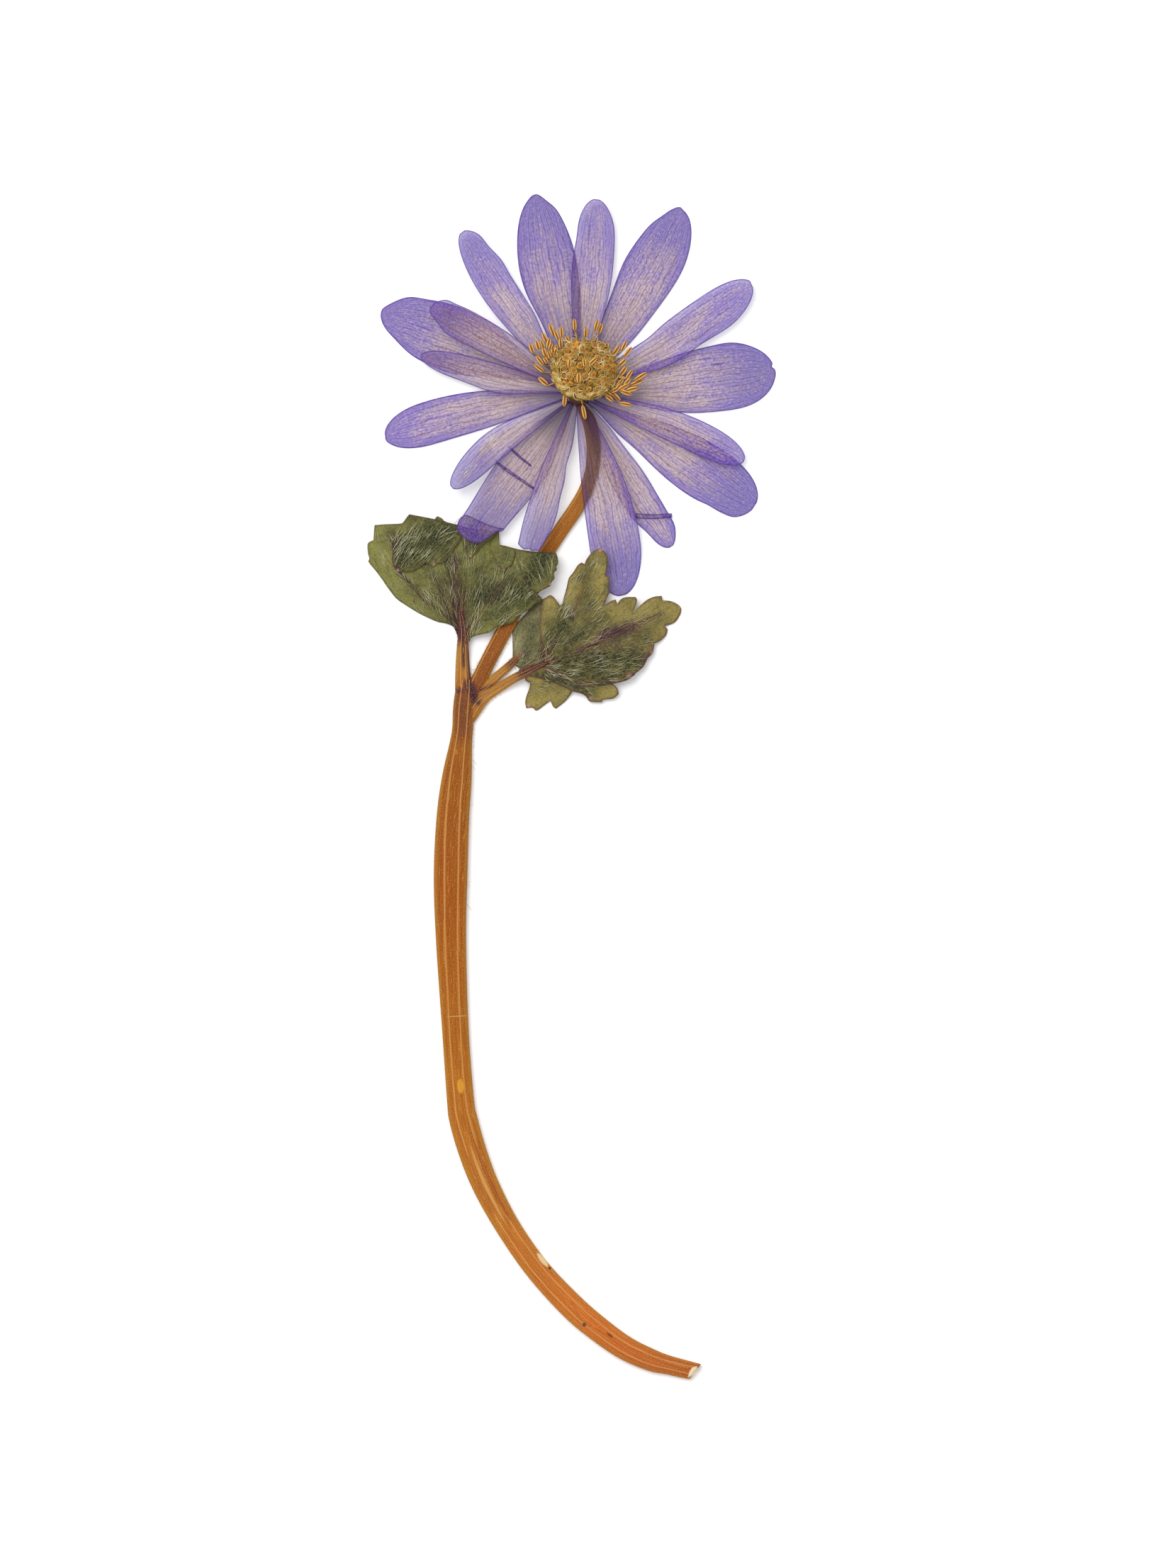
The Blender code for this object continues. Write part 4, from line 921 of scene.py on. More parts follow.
left_hairs = lay_hairs(51, 950, LEAF_LEFT, (-12.3, 14.0), left_underside,
                       lift=0.4, spread=0.22, reach=(1.0, 2.6), crowd=LEFT_CROWD)
for lobe, count, base in zip(FOLDED_LOBES, (190, 34, 34, 90),
                             ((-28.0, 13.0), (-12.0, 24.0), (-9.0, 22.5), (-2.0, 20.0))):
    left_hairs += lay_hairs(52 + count, count, lobe, base, left_fold_underside,
                            lift=0.4, spread=0.14, reach=(1.2, 2.8))
right_hairs = lay_hairs(53, 850, LEAF_RIGHT, (-6.5, 12.2), right_underside,
                        lift=0.4, spread=0.2, reach=(0.9, 2.4), crowd=RIGHT_CROWD)
right_hairs += lay_hairs(55, 40, LOWER_LOBE, (-6.0, 16.0), lower_lobe_underside,
                         lift=0.4, spread=0.3, reach=(0.8, 1.8))
right_hairs += lay_hairs(56, 170, ROLLED_RIM, (-9.0, 14.6), rolled_rim_underside,
                         lift=0.42, spread=0.12, reach=(0.9, 2.0))
back_hairs = lay_hairs(54, 150, LEAF_BACK, (-6.5, 12.5), back_underside,
                       lift=0.4, spread=0.6, reach=(0.7, 1.6))
for name, strands, slot in (("hairs_left", left_hairs, "leaf_left"),
                            ("hairs_right", right_hairs, "leaf_right"),
                            ("hairs_back", back_hairs, "leaf_back")):
    hairs = make_threads(name, strands, HAIR_WIDTH, hair_skin)
    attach(hairs, "root")

# The stalks' hairs: the same kind, most of them short, standing out at the sides and thickest
# under the node, with a few long ones that curl along the scape.
# Dried short hair: as above, stained golden by the stalk's sap.
short_hair_skin = patchy_skin("dried_short_hair", roughness=0.5, ior=1.5, patch=1.111, detail=2.0,
                              ramp=((0.36, "C79A60"), (0.52, "DDBB88"), (0.66, "F0E0C0")))
FRINGE_ROOT = (0.6, 0.95)
FRINGE_SPREAD = 0.6
FRINGE_BEND = 0.3
FRINGE_START = 0.5
FRINGE_FALL = (0.0, -0.05, -0.1, -0.15, -0.2, -0.22)


def fringe_stalk(route, first, last, count, reach, sides, seed):
    """Curved hairs out from a stalk's sides, between two parts of its length."""
    draw = np.random.default_rng(seed)
    stations = smooth_route(route, STALK_STEP)
    strands = []
    for _ in range(count):
        index = int(1 + draw.uniform(first, last) * (len(stations) - 3))
        x, y, width = stations[index][:3]
        ahead = (stations[index + 1] - stations[index - 1])[:2]
        heading = math.atan2(ahead[1], ahead[0]) + draw.choice(sides) * math.pi / 2
        root = width / 2 * draw.uniform(*FRINGE_ROOT)
        spot = np.array((x + root * math.cos(heading), y + root * math.sin(heading),
                         FRINGE_START))
        heading += draw.normal(0, FRINGE_SPREAD)
        bend, step = draw.normal(0, FRINGE_BEND), draw.uniform(*reach) / (len(FRINGE_FALL) - 1)
        strand = []
        for up in FRINGE_FALL:
            strand.append(spot + (0, 0, up))
            heading += bend
            spot = spot + step * np.array((math.cos(heading), math.sin(heading), 0.0))
        strands.append(strand)
    return strands


# Each fringe's stalk, where it starts and ends along it, how many hairs, their length and sides
RIGHT_SIDE, BOTH_SIDES = (1,), (-1, 1)
fringe = []
for route, first, last, count, reach, sides in (
        (SCAPE, 0.0, 1.0, 520, (0.1, 0.3), BOTH_SIDES),
        (SCAPE, 0.02, 0.3, 10, (0.6, 1.4), RIGHT_SIDE),
        (SCAPE, 0.02, 0.08, 50, (0.2, 0.5), RIGHT_SIDE),
        (PEDICEL, 0.03, 0.28, 90, (0.2, 0.7), BOTH_SIDES),
        (PETIOLE_LEFT, 0.1, 0.8, 30, (0.1, 0.3), BOTH_SIDES),
        (PETIOLE_RIGHT, 0.1, 0.5, 30, (0.15, 0.5), BOTH_SIDES),
        (PETIOLE_BACK, 0.2, 0.9, 40, (0.2, 0.6), BOTH_SIDES)):
    fringe += fringe_stalk(route, first, last, count, reach, sides, 70 + count)
fringe_piece = make_threads("hairs_stalk", fringe, HAIR_WIDTH, short_hair_skin)
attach(fringe_piece, "root")

# The tepals. Seventeen long petal-like blades, rooted round the receptacle in overlapping
# layers. Fresh they are blue violet; pressed and dried they are thin as tissue, so the sheet,
# the stalk and each other show through them.
ROOT_RADIUS = 1.3
ROOT_HALF_WIDTH = 0.4
# Heights of an underside by the distance from the flower's centre: three layers, those that
# climb over something, and those that come down from it over the pedicel, which get painted
# shade of the pedicel seen through them
LOW = ((0.0, 0.1), (24.0, 0.0))
MIDDLE = ((0.0, 1.0), (24.0, 0.9))
HIGH = ((0.0, 1.9), (24.0, 1.8))
UP_OVER_LEAF = ((0.0, 0.1), (4.0, 0.1), (20.3, 1.4))
UP_OVER_TEPAL = ((0.0, 1.0), (17.8, 2.1))
UP_OVER_BOTH = ((0.0, 1.2), (5.0, 1.2), (18.4, 2.5))
DOWN_FROM_STALK = ((0.0, 1.2), (8.8, 1.2), (14.2, 0.0), (24.0, 0.0))
DOWN_FROM_TOP = ((0.0, 2.15), (9.5, 2.15), (16.0, 0.95), (21.0, 0.0), (24.0, 0.0))
OVER_PEDICEL = (DOWN_FROM_STALK, DOWN_FROM_TOP)

# Heading in degrees from +X, length from the flower's centre, full width, widest place as a part
# of the length, bow to the side, roundness of the tip, slimness of the waist, height of the
# underside by distance, how tan and how mottled it dried. Then its own irregularities: swells of
# its sides (part of the length, side, out in mm, reach along it) and of its tip (mm to the left,
# out, reach), how deep a violet its outer end is, how dull it dried, the slant of its end, how
# deep the painted shade at its root is, and the number of a tepal that it lies over, which gives
# it painted shade there. Side +1 is left as seen from the root.
Tepal = namedtuple("Tepal", "heading length width widest bow tip waist heights tan mottle "
                            "swells ends deep dull slant root over",
                   defaults=((), (), 0.0, 0.0, 0.0, 0.0, 0))
TEPALS = (
    Tepal(102.1, 22.8, 6.5, 0.62, 0.3, 2.0, 1.1, LOW, 0.6, 0.5,
          ((0.35, 1, -0.4, 0.14), (0.97, -1, -0.25, 0.04)), ((0.0, 0.2, 0.7),), deep=0.55,
          dull=0.07),
    Tepal(84.5, 22.0, 4.7, 0.68, -0.3, 2.3, 1.1, MIDDLE, 0.75, 0.5,
          ((0.78, 1, -0.25, 0.1), (0.88, -1, 0.15, 0.1)), deep=0.35, dull=0.03, over=1),
    Tepal(60.2, 23.8, 6.2, 0.68, -0.5, 2.1, 1.1, LOW, 0.75, 0.9,
          ((0.62, 1, 0.25, 0.12), (0.5, -1, -0.3, 0.2), (0.93, 1, -0.2, 0.05)),
          ((0.5, 0.25, 0.6),), deep=0.6, dull=0.03),
    Tepal(32.0, 23.1, 4.4, 0.70, -0.5, 3.0, 1.1, MIDDLE, 0.7, 0.8,
          ((0.4, 1, -0.2, 0.08), (0.8, -1, 0.25, 0.14), (0.42, -1, 0.55, 0.14)),
          ((0.7, 0.2, 0.7),), deep=0.1),
    Tepal(6.3, 22.4, 7.3, 0.68, -0.2, 2.9, 1.2, LOW, 0.86, 0.9,
          ((0.78, 1, 0.35, 0.12),),
          ((0.6, -0.3, 0.22), (-0.1, 0.1, 0.5)), deep=0.8, dull=0.03),
    Tepal(-22.0, 20.3, 3.7, 0.68, 0.55, 2.6, 1.0, MIDDLE, 0.8, 0.4),
    Tepal(-32.4, 23.7, 6.4, 0.68, 0.2, 2.8, 1.7, LOW, 0.78, 0.5,
          ((0.8, -1, -0.2, 0.06), (0.95, -1, 0.3, 0.05), (0.2, -1, 0.35, 0.12)), deep=0.85),
    Tepal(-58.8, 20.3, 3.9, 0.68, -0.3, 2.6, 1.15, DOWN_FROM_STALK, 1.05, 0.4,
          ((0.9, 1, 0.2, 0.06), (0.5, 1, 0.2, 0.2), (0.86, -1, -0.4, 0.1),
           (0.2, 1, 0.25, 0.12)), deep=0.1, root=0.55),
    Tepal(-77.6, 23.4, 5.8, 0.72, 0.6, 2.3, 0.9, DOWN_FROM_TOP, 0.85, 0.4, deep=0.85,
          root=0.3),
    Tepal(-107.0, 18.6, 3.5, 0.70, 0.1, 60.0, 1.0, UP_OVER_BOTH, 1.1, 0.3,
          ((0.4, 1, -0.35, 0.1), (0.6, 1, -0.25, 0.1), (1.0, 1, -0.65, 0.12),
           (1.0, -1, -0.25, 0.12)),
          ((0.7, -0.15, 0.2), (-0.1, -0.12, 0.15), (-0.7, 0.12, 0.3)), deep=0.85, dull=0.15,
          root=0.6),
    Tepal(-126.2, 19.3, 5.7, 0.62, 0.0, 60.0, 1.1, UP_OVER_LEAF, 1.25, 0.5,
          ((1.0, 1, -0.45, 0.3), (1.0, -1, -0.6, 0.3)), deep=0.75, dull=0.14, slant=-0.55,
          root=0.8),
    Tepal(-143.2, 17.8, 3.0, 0.68, -0.7, 2.6, 1.0, UP_OVER_TEPAL, 0.9, 0.4,
          ((0.6, -1, 0.4, 0.25),), deep=0.9, dull=0.09, root=0.8),
    Tepal(-167.4, 22.3, 4.9, 0.72, -0.55, 2.6, 1.0, LOW, 0.78, 0.5,
          (), ((0.6, 0.1, 0.5),)),
    Tepal(158.2, 23.8, 7.2, 0.66, -0.5, 2.2, 2.0, LOW, 0.82, 0.7,
          ((0.56, 1, 0.25, 0.12), (0.92, 1, -0.5, 0.1), (0.43, -1, 0.3, 0.1),
           (0.92, -1, 0.35, 0.07)), ((-0.6, 0.3, 1.0),), deep=0.45),
    Tepal(150.1, 19.2, 3.7, 0.74, -0.3, 2.4, 1.0, HIGH, 1.6, 0.35,
          ((0.95, -1, 0.4, 0.06), (0.93, 1, -0.35, 0.06)), deep=0.75, dull=0.09),
    Tepal(166.6, 18.2, 2.9, 0.62, 0.25, 2.6, 0.9, MIDDLE, 1.6, 0.35, ((0.45, 1, 0.5, 0.2),),
          deep=0.5, dull=0.05),
    Tepal(125.8, 22.4, 4.0, 0.66, 0.45, 2.3, 0.95, MIDDLE, 0.7, 0.5,
          ((0.3, -1, -0.3, 0.08), (0.76, -1, 0.18, 0.07), (0.94, -1, 0.3, 0.06)), deep=0.65),
)
TEPAL_ROWS = 80
TEPAL_COLUMNS = 32
TEPAL_THICKNESS = 0.14
TEPAL_RIM_THICKNESS = 0.06
TEPAL_CLEARANCE = 0.05
TEPAL_RIPPLE = 0.05
RIM_WAVER = 0.02
WIDEST_SWELL = 1.6
TEPAL_END = 0.998
TEPAL_END_ROUND = 0.15
VEIN_SPACING = 0.68
RIDGE = 0.006

# Dried tepal: a single tissue-thin blade whose blue violet sap dried in at the rim and drew back
# from the middle. It gives the eye a see-through violet, tan in the middle, with fine veins
# along it, a dark line at the rim and fine mottling. Its root is darker and redder. Painted
# shade darkens the roots of the tepals beside the dome's bunch of filaments, a tepal where it
# lies over another, the tepals over the pedicel, which shows through them, and the folds that
# lie double. Veins are 0.03 mm wide, drawn at 0.15 mm so that they show.
CLOUD_SIZE = 1.1111
FLECK_SIZE = 0.2381
GRAIN_SIZE = 0.3125
TEPAL_SPECKS_APART = 2.381
tepal_skin, tree, shader = new_skin("dried_tepal", 0.6, 1.4)
grown = (add(tree, "Attribute", attribute_name="grown"), "Vector")
place, lanes, tint = (add(tree, "SeparateXYZ", {
    0: (add(tree, "Attribute", attribute_name=label), "Vector")})
    for label in ("place", "lanes", "tint"))
long_at = add(tree, "Mapping", {"Vector": grown, "Scale": (0.35, 1.0, 1.0)})
clouds = add(tree, "TexNoise", {"Vector": long_at, "Scale": 1 / CLOUD_SIZE, "Detail": 4.0,
                                "Roughness": 0.6})
flecks_at = add(tree, "Mapping", {"Vector": grown, "Scale": (0.75, 1.0, 1.0)})
flecks = add(tree, "TexNoise", {"Vector": flecks_at, "Scale": 1 / FLECK_SIZE, "Detail": 5.0,
                                "Roughness": 0.72})
grain = add(tree, "TexNoise", {"Vector": grown, "Scale": 1 / GRAIN_SIZE, "Detail": 5.0,
                               "Roughness": 0.8})
# Tan keeps to the middle and the lower half, but not beside the dome, in patches with violet
# flecks at their borders
side_square = add(tree, "Math", {0: (place, "Y"), 1: (place, "Y")}, operation="MULTIPLY")
middle = add(tree, "MapRange", {"Value": side_square, "From Min": 1.0, "From Max": 0.15,
                                "To Min": -0.25, "To Max": 0.22})
inner = add(tree, "MapRange", {"Value": (place, "X"), "From Min": 1.0, "From Max": 0.45,
                               "To Min": -0.8, "To Max": 0.0})
by_dome = add(tree, "MapRange", {"Value": (place, "X"), "From Min": 0.32, "From Max": 0.06,
                                 "To Max": 0.4})
patches = add(tree, "Math", {0: clouds, 1: 2.2, 2: -1.1}, operation="MULTIPLY_ADD")
flecked = add(tree, "Math", {0: flecks, 1: 0.5}, operation="SUBTRACT")
flecked = add(tree, "Math", {0: flecked, 1: (tint, "Y")}, operation="MULTIPLY")
tanned = middle
for more, way in ((inner, "ADD"), ((tint, "X"), "ADD"), (patches, "ADD"), (by_dome, "SUBTRACT")):
    tanned = add(tree, "Math", {0: tanned, 1: more}, operation=way)
tanned = add(tree, "Math", {0: flecked, 1: -4.2, 2: tanned}, operation="MULTIPLY_ADD")
tan = add(tree, "MapRange", {"Value": tanned, "From Min": 0.1, "From Max": 1.15},
          interpolation_type="SMOOTHSTEP")
# Main veins run along the lanes, and side veins leave them and meet halfway
sway = add(tree, "TexNoise", {"Vector": long_at, "Scale": 1.1, "Detail": 2.0})
sway = add(tree, "Math", {0: sway, 1: 0.5}, operation="SUBTRACT")
swayed = add(tree, "Math", {0: sway, 1: 1.1, 2: (lanes, "X")}, operation="MULTIPLY_ADD")
from_vein = add(tree, "Math", {0: swayed, 1: 0.5}, operation="PINGPONG")
main_veins = add(tree, "MapRange", {"Value": from_vein, "From Min": 0.14, "From Max": 0.03})
lane = add(tree, "Math", {0: swayed}, operation="ROUND")
luck = add(tree, "TexWhiteNoise", {"W": lane}, noise_dimensions="1D")
parting = add(tree, "Math", {0: (luck, "Value"), 1: 0.55}, operation="MULTIPLY")
parted = add(tree, "Math", {0: (place, "X"), 1: parting}, operation="SUBTRACT")
spread_out = add(tree, "MapRange", {"Value": parted, "From Min": 0.02, "From Max": 0.4,
                                    "To Max": 0.5})
side_veins = add(tree, "Math", {0: from_vein, 1: spread_out}, operation="SUBTRACT")
side_veins = add(tree, "Math", {0: side_veins}, operation="ABSOLUTE")
side_veins = add(tree, "MapRange", {"Value": side_veins, "From Min": 0.12, "From Max": 0.02,
                                    "To Max": 0.6})
veins = add(tree, "Math", {0: main_veins, 1: side_veins}, operation="MAXIMUM")
broken = add(tree, "MapRange", {"Value": flecks, "From Min": 0.36, "From Max": 0.56,
                                "To Min": 0.35, "To Max": 1.0})
veins = add(tree, "Math", {0: veins, 1: broken}, operation="MULTIPLY")
# The rim: a violet border 1 mm wide with a dark line on its edge
rim_line = add(tree, "MapRange", {"Value": (place, "Z"), "From Min": 0.16, "From Max": 0.04,
                                  "To Max": 0.8})
outer = add(tree, "MapRange", {"Value": (place, "X"), "From Min": 0.6, "From Max": 0.86})
outer = add(tree, "Math", {0: outer, 1: (lanes, "Y")}, operation="MULTIPLY")
specks = add(tree, "TexVoronoi", {"Vector": grown, "Scale": 1 / TEPAL_SPECKS_APART,
                                  "Randomness": 1.0})
# Painted shade of the pedicel under it and of its folds, with its dulling, broken by flecks
painted_shade_and_dulling = add(tree, "MapRange", {"Value": flecks, "From Min": 0.62, "From Max": 0.4,
                               "To Min": 0.75})
painted_shade_and_dulling = add(tree, "Math", {0: painted_shade_and_dulling, 1: (tint, "Z")}, operation="MULTIPLY")
violet = lay_colours(tree, "7146B8", ((flecks, 0.62, 0.36, 1.0, "986FCE"),))
tan_colour = lay_colours(tree, "B89A8E", (((place, "X"), 0.1, 0.55, 1.0, "CDB3B8"),))
vein_colour = lay_colours(tree, "523096", ((tan, 0.0, 1.0, 1.0, "8C5A48"),))
# Tan, a deep outer end, pale flecks, dark and pale grain, the root, veins, border, rim, specks,
# then painted shade at the root and over another tepal, and last its dulling with the painted
# shade of the pedicel under it and of its folds
sap = lay_colours(tree, violet, (
    (tan, 0.0, 1.0, 1.0, tan_colour), (outer, 0.0, 1.0, 1.0, "5836AC"),
    (flecks, 0.4, 0.3, 0.45, "CFB2C2"), (grain, 0.5, 0.62, 0.75, "5030A0"),
    (grain, 0.48, 0.36, 0.5, "E2D0EC"), ((place, "X"), 0.3, 0.02, 0.85, "5C3442"),
    (veins, 0.0, 1.0, 1.0, vein_colour), ((place, "Z"), 1.1, 0.1, 0.42, "6E4DB8"),
    (rim_line, 0.0, 1.0, 1.0, "4E2F92"), (specks, 0.05, 0.03, 0.8, "2E2350"),
    ((lanes, "Z"), 0.0, 1.0, 1.0, "46245E"), (painted_shade_and_dulling, 0.0, 1.0, 1.0, "4A2A24")))
tree.links.new(sap.outputs[2], shader.inputs["Base Color"])
body = add(tree, "MapRange", {"Value": veins, "To Min": 0.42, "To Max": 0.55})
body = add(tree, "Math", {0: rim_line, 1: 0.35, 2: body}, operation="MULTIPLY_ADD")
tree.links.new(body.outputs[0], shader.inputs["Alpha"])
height = add(tree, "Math", {0: veins, 1: flecks}, operation="ADD")
bump = add(tree, "Bump", {"Strength": 0.35, "Distance": 0.06 * MM, "Height": height})
tree.links.new(bump.outputs["Normal"], shader.inputs["Normal"])


def half_width(tepal, part):
    """Half the width at a part of the length: a waist, the widest place, a round tip."""
    widest = tepal.width / 2
    opening = np.sin(math.pi / 2 * np.minimum(part / tepal.widest, 1)) ** tepal.waist
    beyond = np.clip((part - tepal.widest) / (1 - tepal.widest), 0, 1)
    return np.where(part <= tepal.widest, ROOT_HALF_WIDTH + (widest - ROOT_HALF_WIDTH) * opening,
                    widest * np.sqrt(1 - beyond ** tepal.tip))


def by_axis(tepal, spots):
    """How far along and across the tepal's own axis each spot lies."""
    turn = math.radians(-tepal.heading)
    off = spots - HEAD
    return (off[:, 0] * math.cos(turn) - off[:, 1] * math.sin(turn),
            off[:, 0] * math.sin(turn) + off[:, 1] * math.cos(turn))


def from_axis(tepal, along, across):
    """Where a place along and across the tepal's own axis lies, in X and Y."""
    turn = math.radians(tepal.heading)
    return (HEAD[0] + along * math.cos(turn) - across * math.sin(turn),
            HEAD[1] + along * math.sin(turn) + across * math.cos(turn))


def on_blade(tepal, along, across):
    """The part of the length, the way from the bowed middle line, and half the width there."""
    part = np.clip((along - ROOT_RADIUS) / (tepal.length - ROOT_RADIUS), 0, 1)
    return part, across - tepal.bow * np.sin(math.pi * part), half_width(tepal, part)


# How dark the painted shade is where a tepal lies over another and over the pedicel, how far
# they reach in mm, and where along it its root's painted shade starts and is full
OVERLAP_PAINTED_SHADE, COVER_EDGE = 0.45, 0.3
PEDICEL_PAINTED_SHADE, PEDICEL_SHADE_REACH, PEDICEL_SHADE_FULL = 0.85, 1.0, 0.7
ROOT_SHADE_FROM, ROOT_SHADE_FULL = 0.36, 0.04


def covered_by(tepal, spots):
    """1 at the spots where the tepal lies, with a soft edge."""
    _, off, half = on_blade(tepal, *by_axis(tepal, spots))
    return ease((half - np.abs(off)) / COVER_EDGE + 0.5)


def tepal_marks(number, tepal, along, across, gap):
    """What the tepal's skin needs to know of each point, by its place on the blade."""
    part, off, half = on_blade(tepal, along, across)
    side = off / half
    spots = np.column_stack(from_axis(tepal, along, across))
    # Painted shade of the pedicel, seen through the tepals that come down over it
    painted_shade_and_dulling = PEDICEL_PAINTED_SHADE * (tepal.heights in OVER_PEDICEL) * rise(
        gap_to_line(spots, PEDICEL), PEDICEL_SHADE_REACH, PEDICEL_SHADE_FULL)
    count, none = len(part), np.zeros(len(part))
    lane = side * tepal.width / 2 / VEIN_SPACING + 0.5 * (number % 2) + 20 * number
    # Painted shade at the roots beside the dome, and where the tepal lies over another one
    shade = tepal.root * rise(part, ROOT_SHADE_FROM, ROOT_SHADE_FULL)
    if tepal.over:
        shade = np.maximum(shade, OVERLAP_PAINTED_SHADE * covered_by(TEPALS[tepal.over - 1], spots))
    marks = {"grown": (along + 40 * number, across, none), "place": (part, side, gap),
             "lanes": (lane, np.full(count, tepal.deep), shade),
             "tint": (np.full(count, tepal.tan), np.full(count, tepal.mottle),
                      np.maximum(painted_shade_and_dulling, tepal.dull))}
    return {label: np.tile(np.column_stack(values), (2, 1)) for label, values in marks.items()}


def make_tepal(number, tepal):
    """A closed thin blade along its own +X, turned to its heading about the flower's centre."""
    part = TEPAL_END * (1 - (1 - np.linspace(0, 1, TEPAL_ROWS + 1)) ** 1.5)[:, None]
    side = np.sin(np.linspace(-1, 1, TEPAL_COLUMNS + 1) * math.pi / 2)[None, :]
    half = half_width(tepal, part)
    waver = np.array([[noise.noise(Vector((p * 4, 3 * s, number))) for s in (-1, 1)]
                      for p in part[:, 0]])
    uneven = np.where(side < 0, waver[:, :1], waver[:, 1:])
    swollen = half * (1 + RIM_WAVER * uneven)
    for where, which, out, reach in tepal.swells:
        swollen = swollen + (side * which > 0) * out * np.exp(-((part - where) / reach) ** 2)
    off_axis = side * np.minimum(swollen, half * WIDEST_SWELL)
    across = tepal.bow * np.sin(math.pi * part) + off_axis
    along = ROOT_RADIUS + (tepal.length - ROOT_RADIUS) * part
    along = along - TEPAL_END_ROUND * (2 * off_axis / tepal.width) ** 2 * part ** 6
    along = along + tepal.slant * off_axis * part ** 3
    for where, out, reach in tepal.ends:
        along = along + out * np.exp(-((off_axis - where) / reach) ** 2) * part ** 12
    index = np.arange(along.size).reshape(along.shape)
    along, across = along.ravel(), across.ravel()
    flat = np.column_stack(from_axis(tepal, along, across))
    border = np.concatenate([index[:, 0], index[-1, 1:], index[-2::-1, -1], index[0, -2:0:-1]])
    gap = gap_to_line(flat, close_line(flat[border]))
    ripple = np.array([noise.noise(Vector((a * 0.25, c * 0.5, number * 7)))
                       for a, c in zip(along, across)])
    under = np.interp(along, *zip(*tepal.heights)) + TEPAL_CLEARANCE
    under = under + TEPAL_RIPPLE * (ripple + 0.7) * ease(gap)
    ridge = RIDGE * np.cos(2 * math.pi * (side * tepal.width / 2 / VEIN_SPACING))
    ridge = (ridge * np.ones_like(part)).ravel()
    thick = TEPAL_RIM_THICKNESS + (TEPAL_THICKNESS - TEPAL_RIM_THICKNESS) * ease(gap / 0.3)
    top = under + thick + ridge * ease(gap / 0.6)
    cells = np.stack([index[:-1, :-1], index[1:, :-1], index[1:, 1:], index[:-1, 1:]], axis=-1)
    points, faces = thin_sheet(flat, cells.reshape(-1, 4).tolist(), top, under)
    return make_piece("tepal_%02d_blade" % number, points, faces, tepal_skin,
                      tepal_marks(number, tepal, along, across, gap))


for number, tepal in enumerate(TEPALS, 1):
    blade = make_tepal(number, tepal)
    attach(blade, "root")
    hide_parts("tepal_%02d" % number)

# Where the press caught a tepal it lies double: two creases across one, a pleat across another,
# and a tip that dried folded over the leaf. Each is a second layer of the same blade on it,
# darkened with painted shade for the doubled layer and, at the tip, for the leaf showing through.
Fold = namedtuple("Fold", "name tepal rise dull outline")
FOLDS = (
    Fold("crease_upper", 11, 0.25, 0.25,
         ((-7.05, 38.6), (-6.2, 37.8), (-5.35, 37.05), (-4.5, 36.35), (-4.62, 36.2),
          (-5.5, 36.85), (-6.35, 37.55), (-7.15, 38.4))),
    Fold("crease_lower", 11, 0.25, 0.25,
         ((-8.5, 36.88), (-7.4, 36.1), (-5.7, 34.9), (-4.2, 33.85), (-4.3, 33.6), (-5.9, 34.65),
          (-7.6, 35.8), (-8.5, 36.6))),
    Fold("pleat", 8, 0.25, 0.2,
         ((7.2, 30.95), (9.3, 30.85), (11.3, 30.95), (11.35, 30.5), (9.3, 30.3), (7.3, 30.4))),
    Fold("folded_tip", 11, 0.25, 0.32,
         ((-12.95, 29.35), (-12.79, 28.88), (-12.12, 28.15), (-11.05, 27.6), (-9.99, 27.75),
          (-9.05, 28.41), (-8.19, 28.95), (-7.55, 29.2), (-8.79, 29.45), (-10.12, 29.95),
          (-11.45, 30.61), (-12.12, 30.75), (-12.7, 30.2))),
)
FOLD_CELL = 0.25
FOLD_THICKNESS = 0.08

for fold in FOLDS:
    tepal = TEPALS[fold.tepal - 1]
    rim = soften(fold.outline)
    places, triangles = fill_outline(rim, FOLD_CELL, fold.tepal)
    along, across = by_axis(tepal, places)
    gap = gap_to_line(places, close_line(rim))
    under = np.interp(along, *zip(*tepal.heights)) + fold.rise
    points, faces = thin_sheet(places, triangles, under + FOLD_THICKNESS, under)
    # The fold's dull and deep values give it its painted shade
    layer = make_piece("tepal_%02d_%s" % (fold.tepal, fold.name), points, faces, tepal_skin,
                       tepal_marks(fold.tepal, tepal._replace(dull=fold.dull, deep=fold.dull),
                                   along, across, gap))
    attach(layer, "root")
    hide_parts("tepal_%02d" % fold.tepal)

# One tepal dried with its fibres bared in pale streaks along it
BARED_FIBRES = (
    ((-8.6, 39.6), (-9.5, 38.7), (-10.6, 37.7), (-11.2, 36.6), (-11.5, 35.6), (-12.3, 34.8),
     (-12.8, 34.0)),
    ((-8.4, 38.9), (-9.2, 38.1), (-10.0, 37.3), (-10.8, 36.2), (-11.7, 35.0), (-12.3, 34.2)),
    ((-8.9, 38.8), (-9.9, 37.9), (-10.4, 37.2)), ((-9.7, 38.0), (-10.4, 36.9), (-11.0, 36.2)),
    ((-11.6, 35.9), (-12.2, 35.2), (-12.7, 34.6)), ((-7.6, 40.2), (-8.3, 39.4), (-8.9, 39.0)))
FIBRE_WIDTH = 0.11
FIBRE_STEP = 0.3
FIBRE_RISE = 0.24

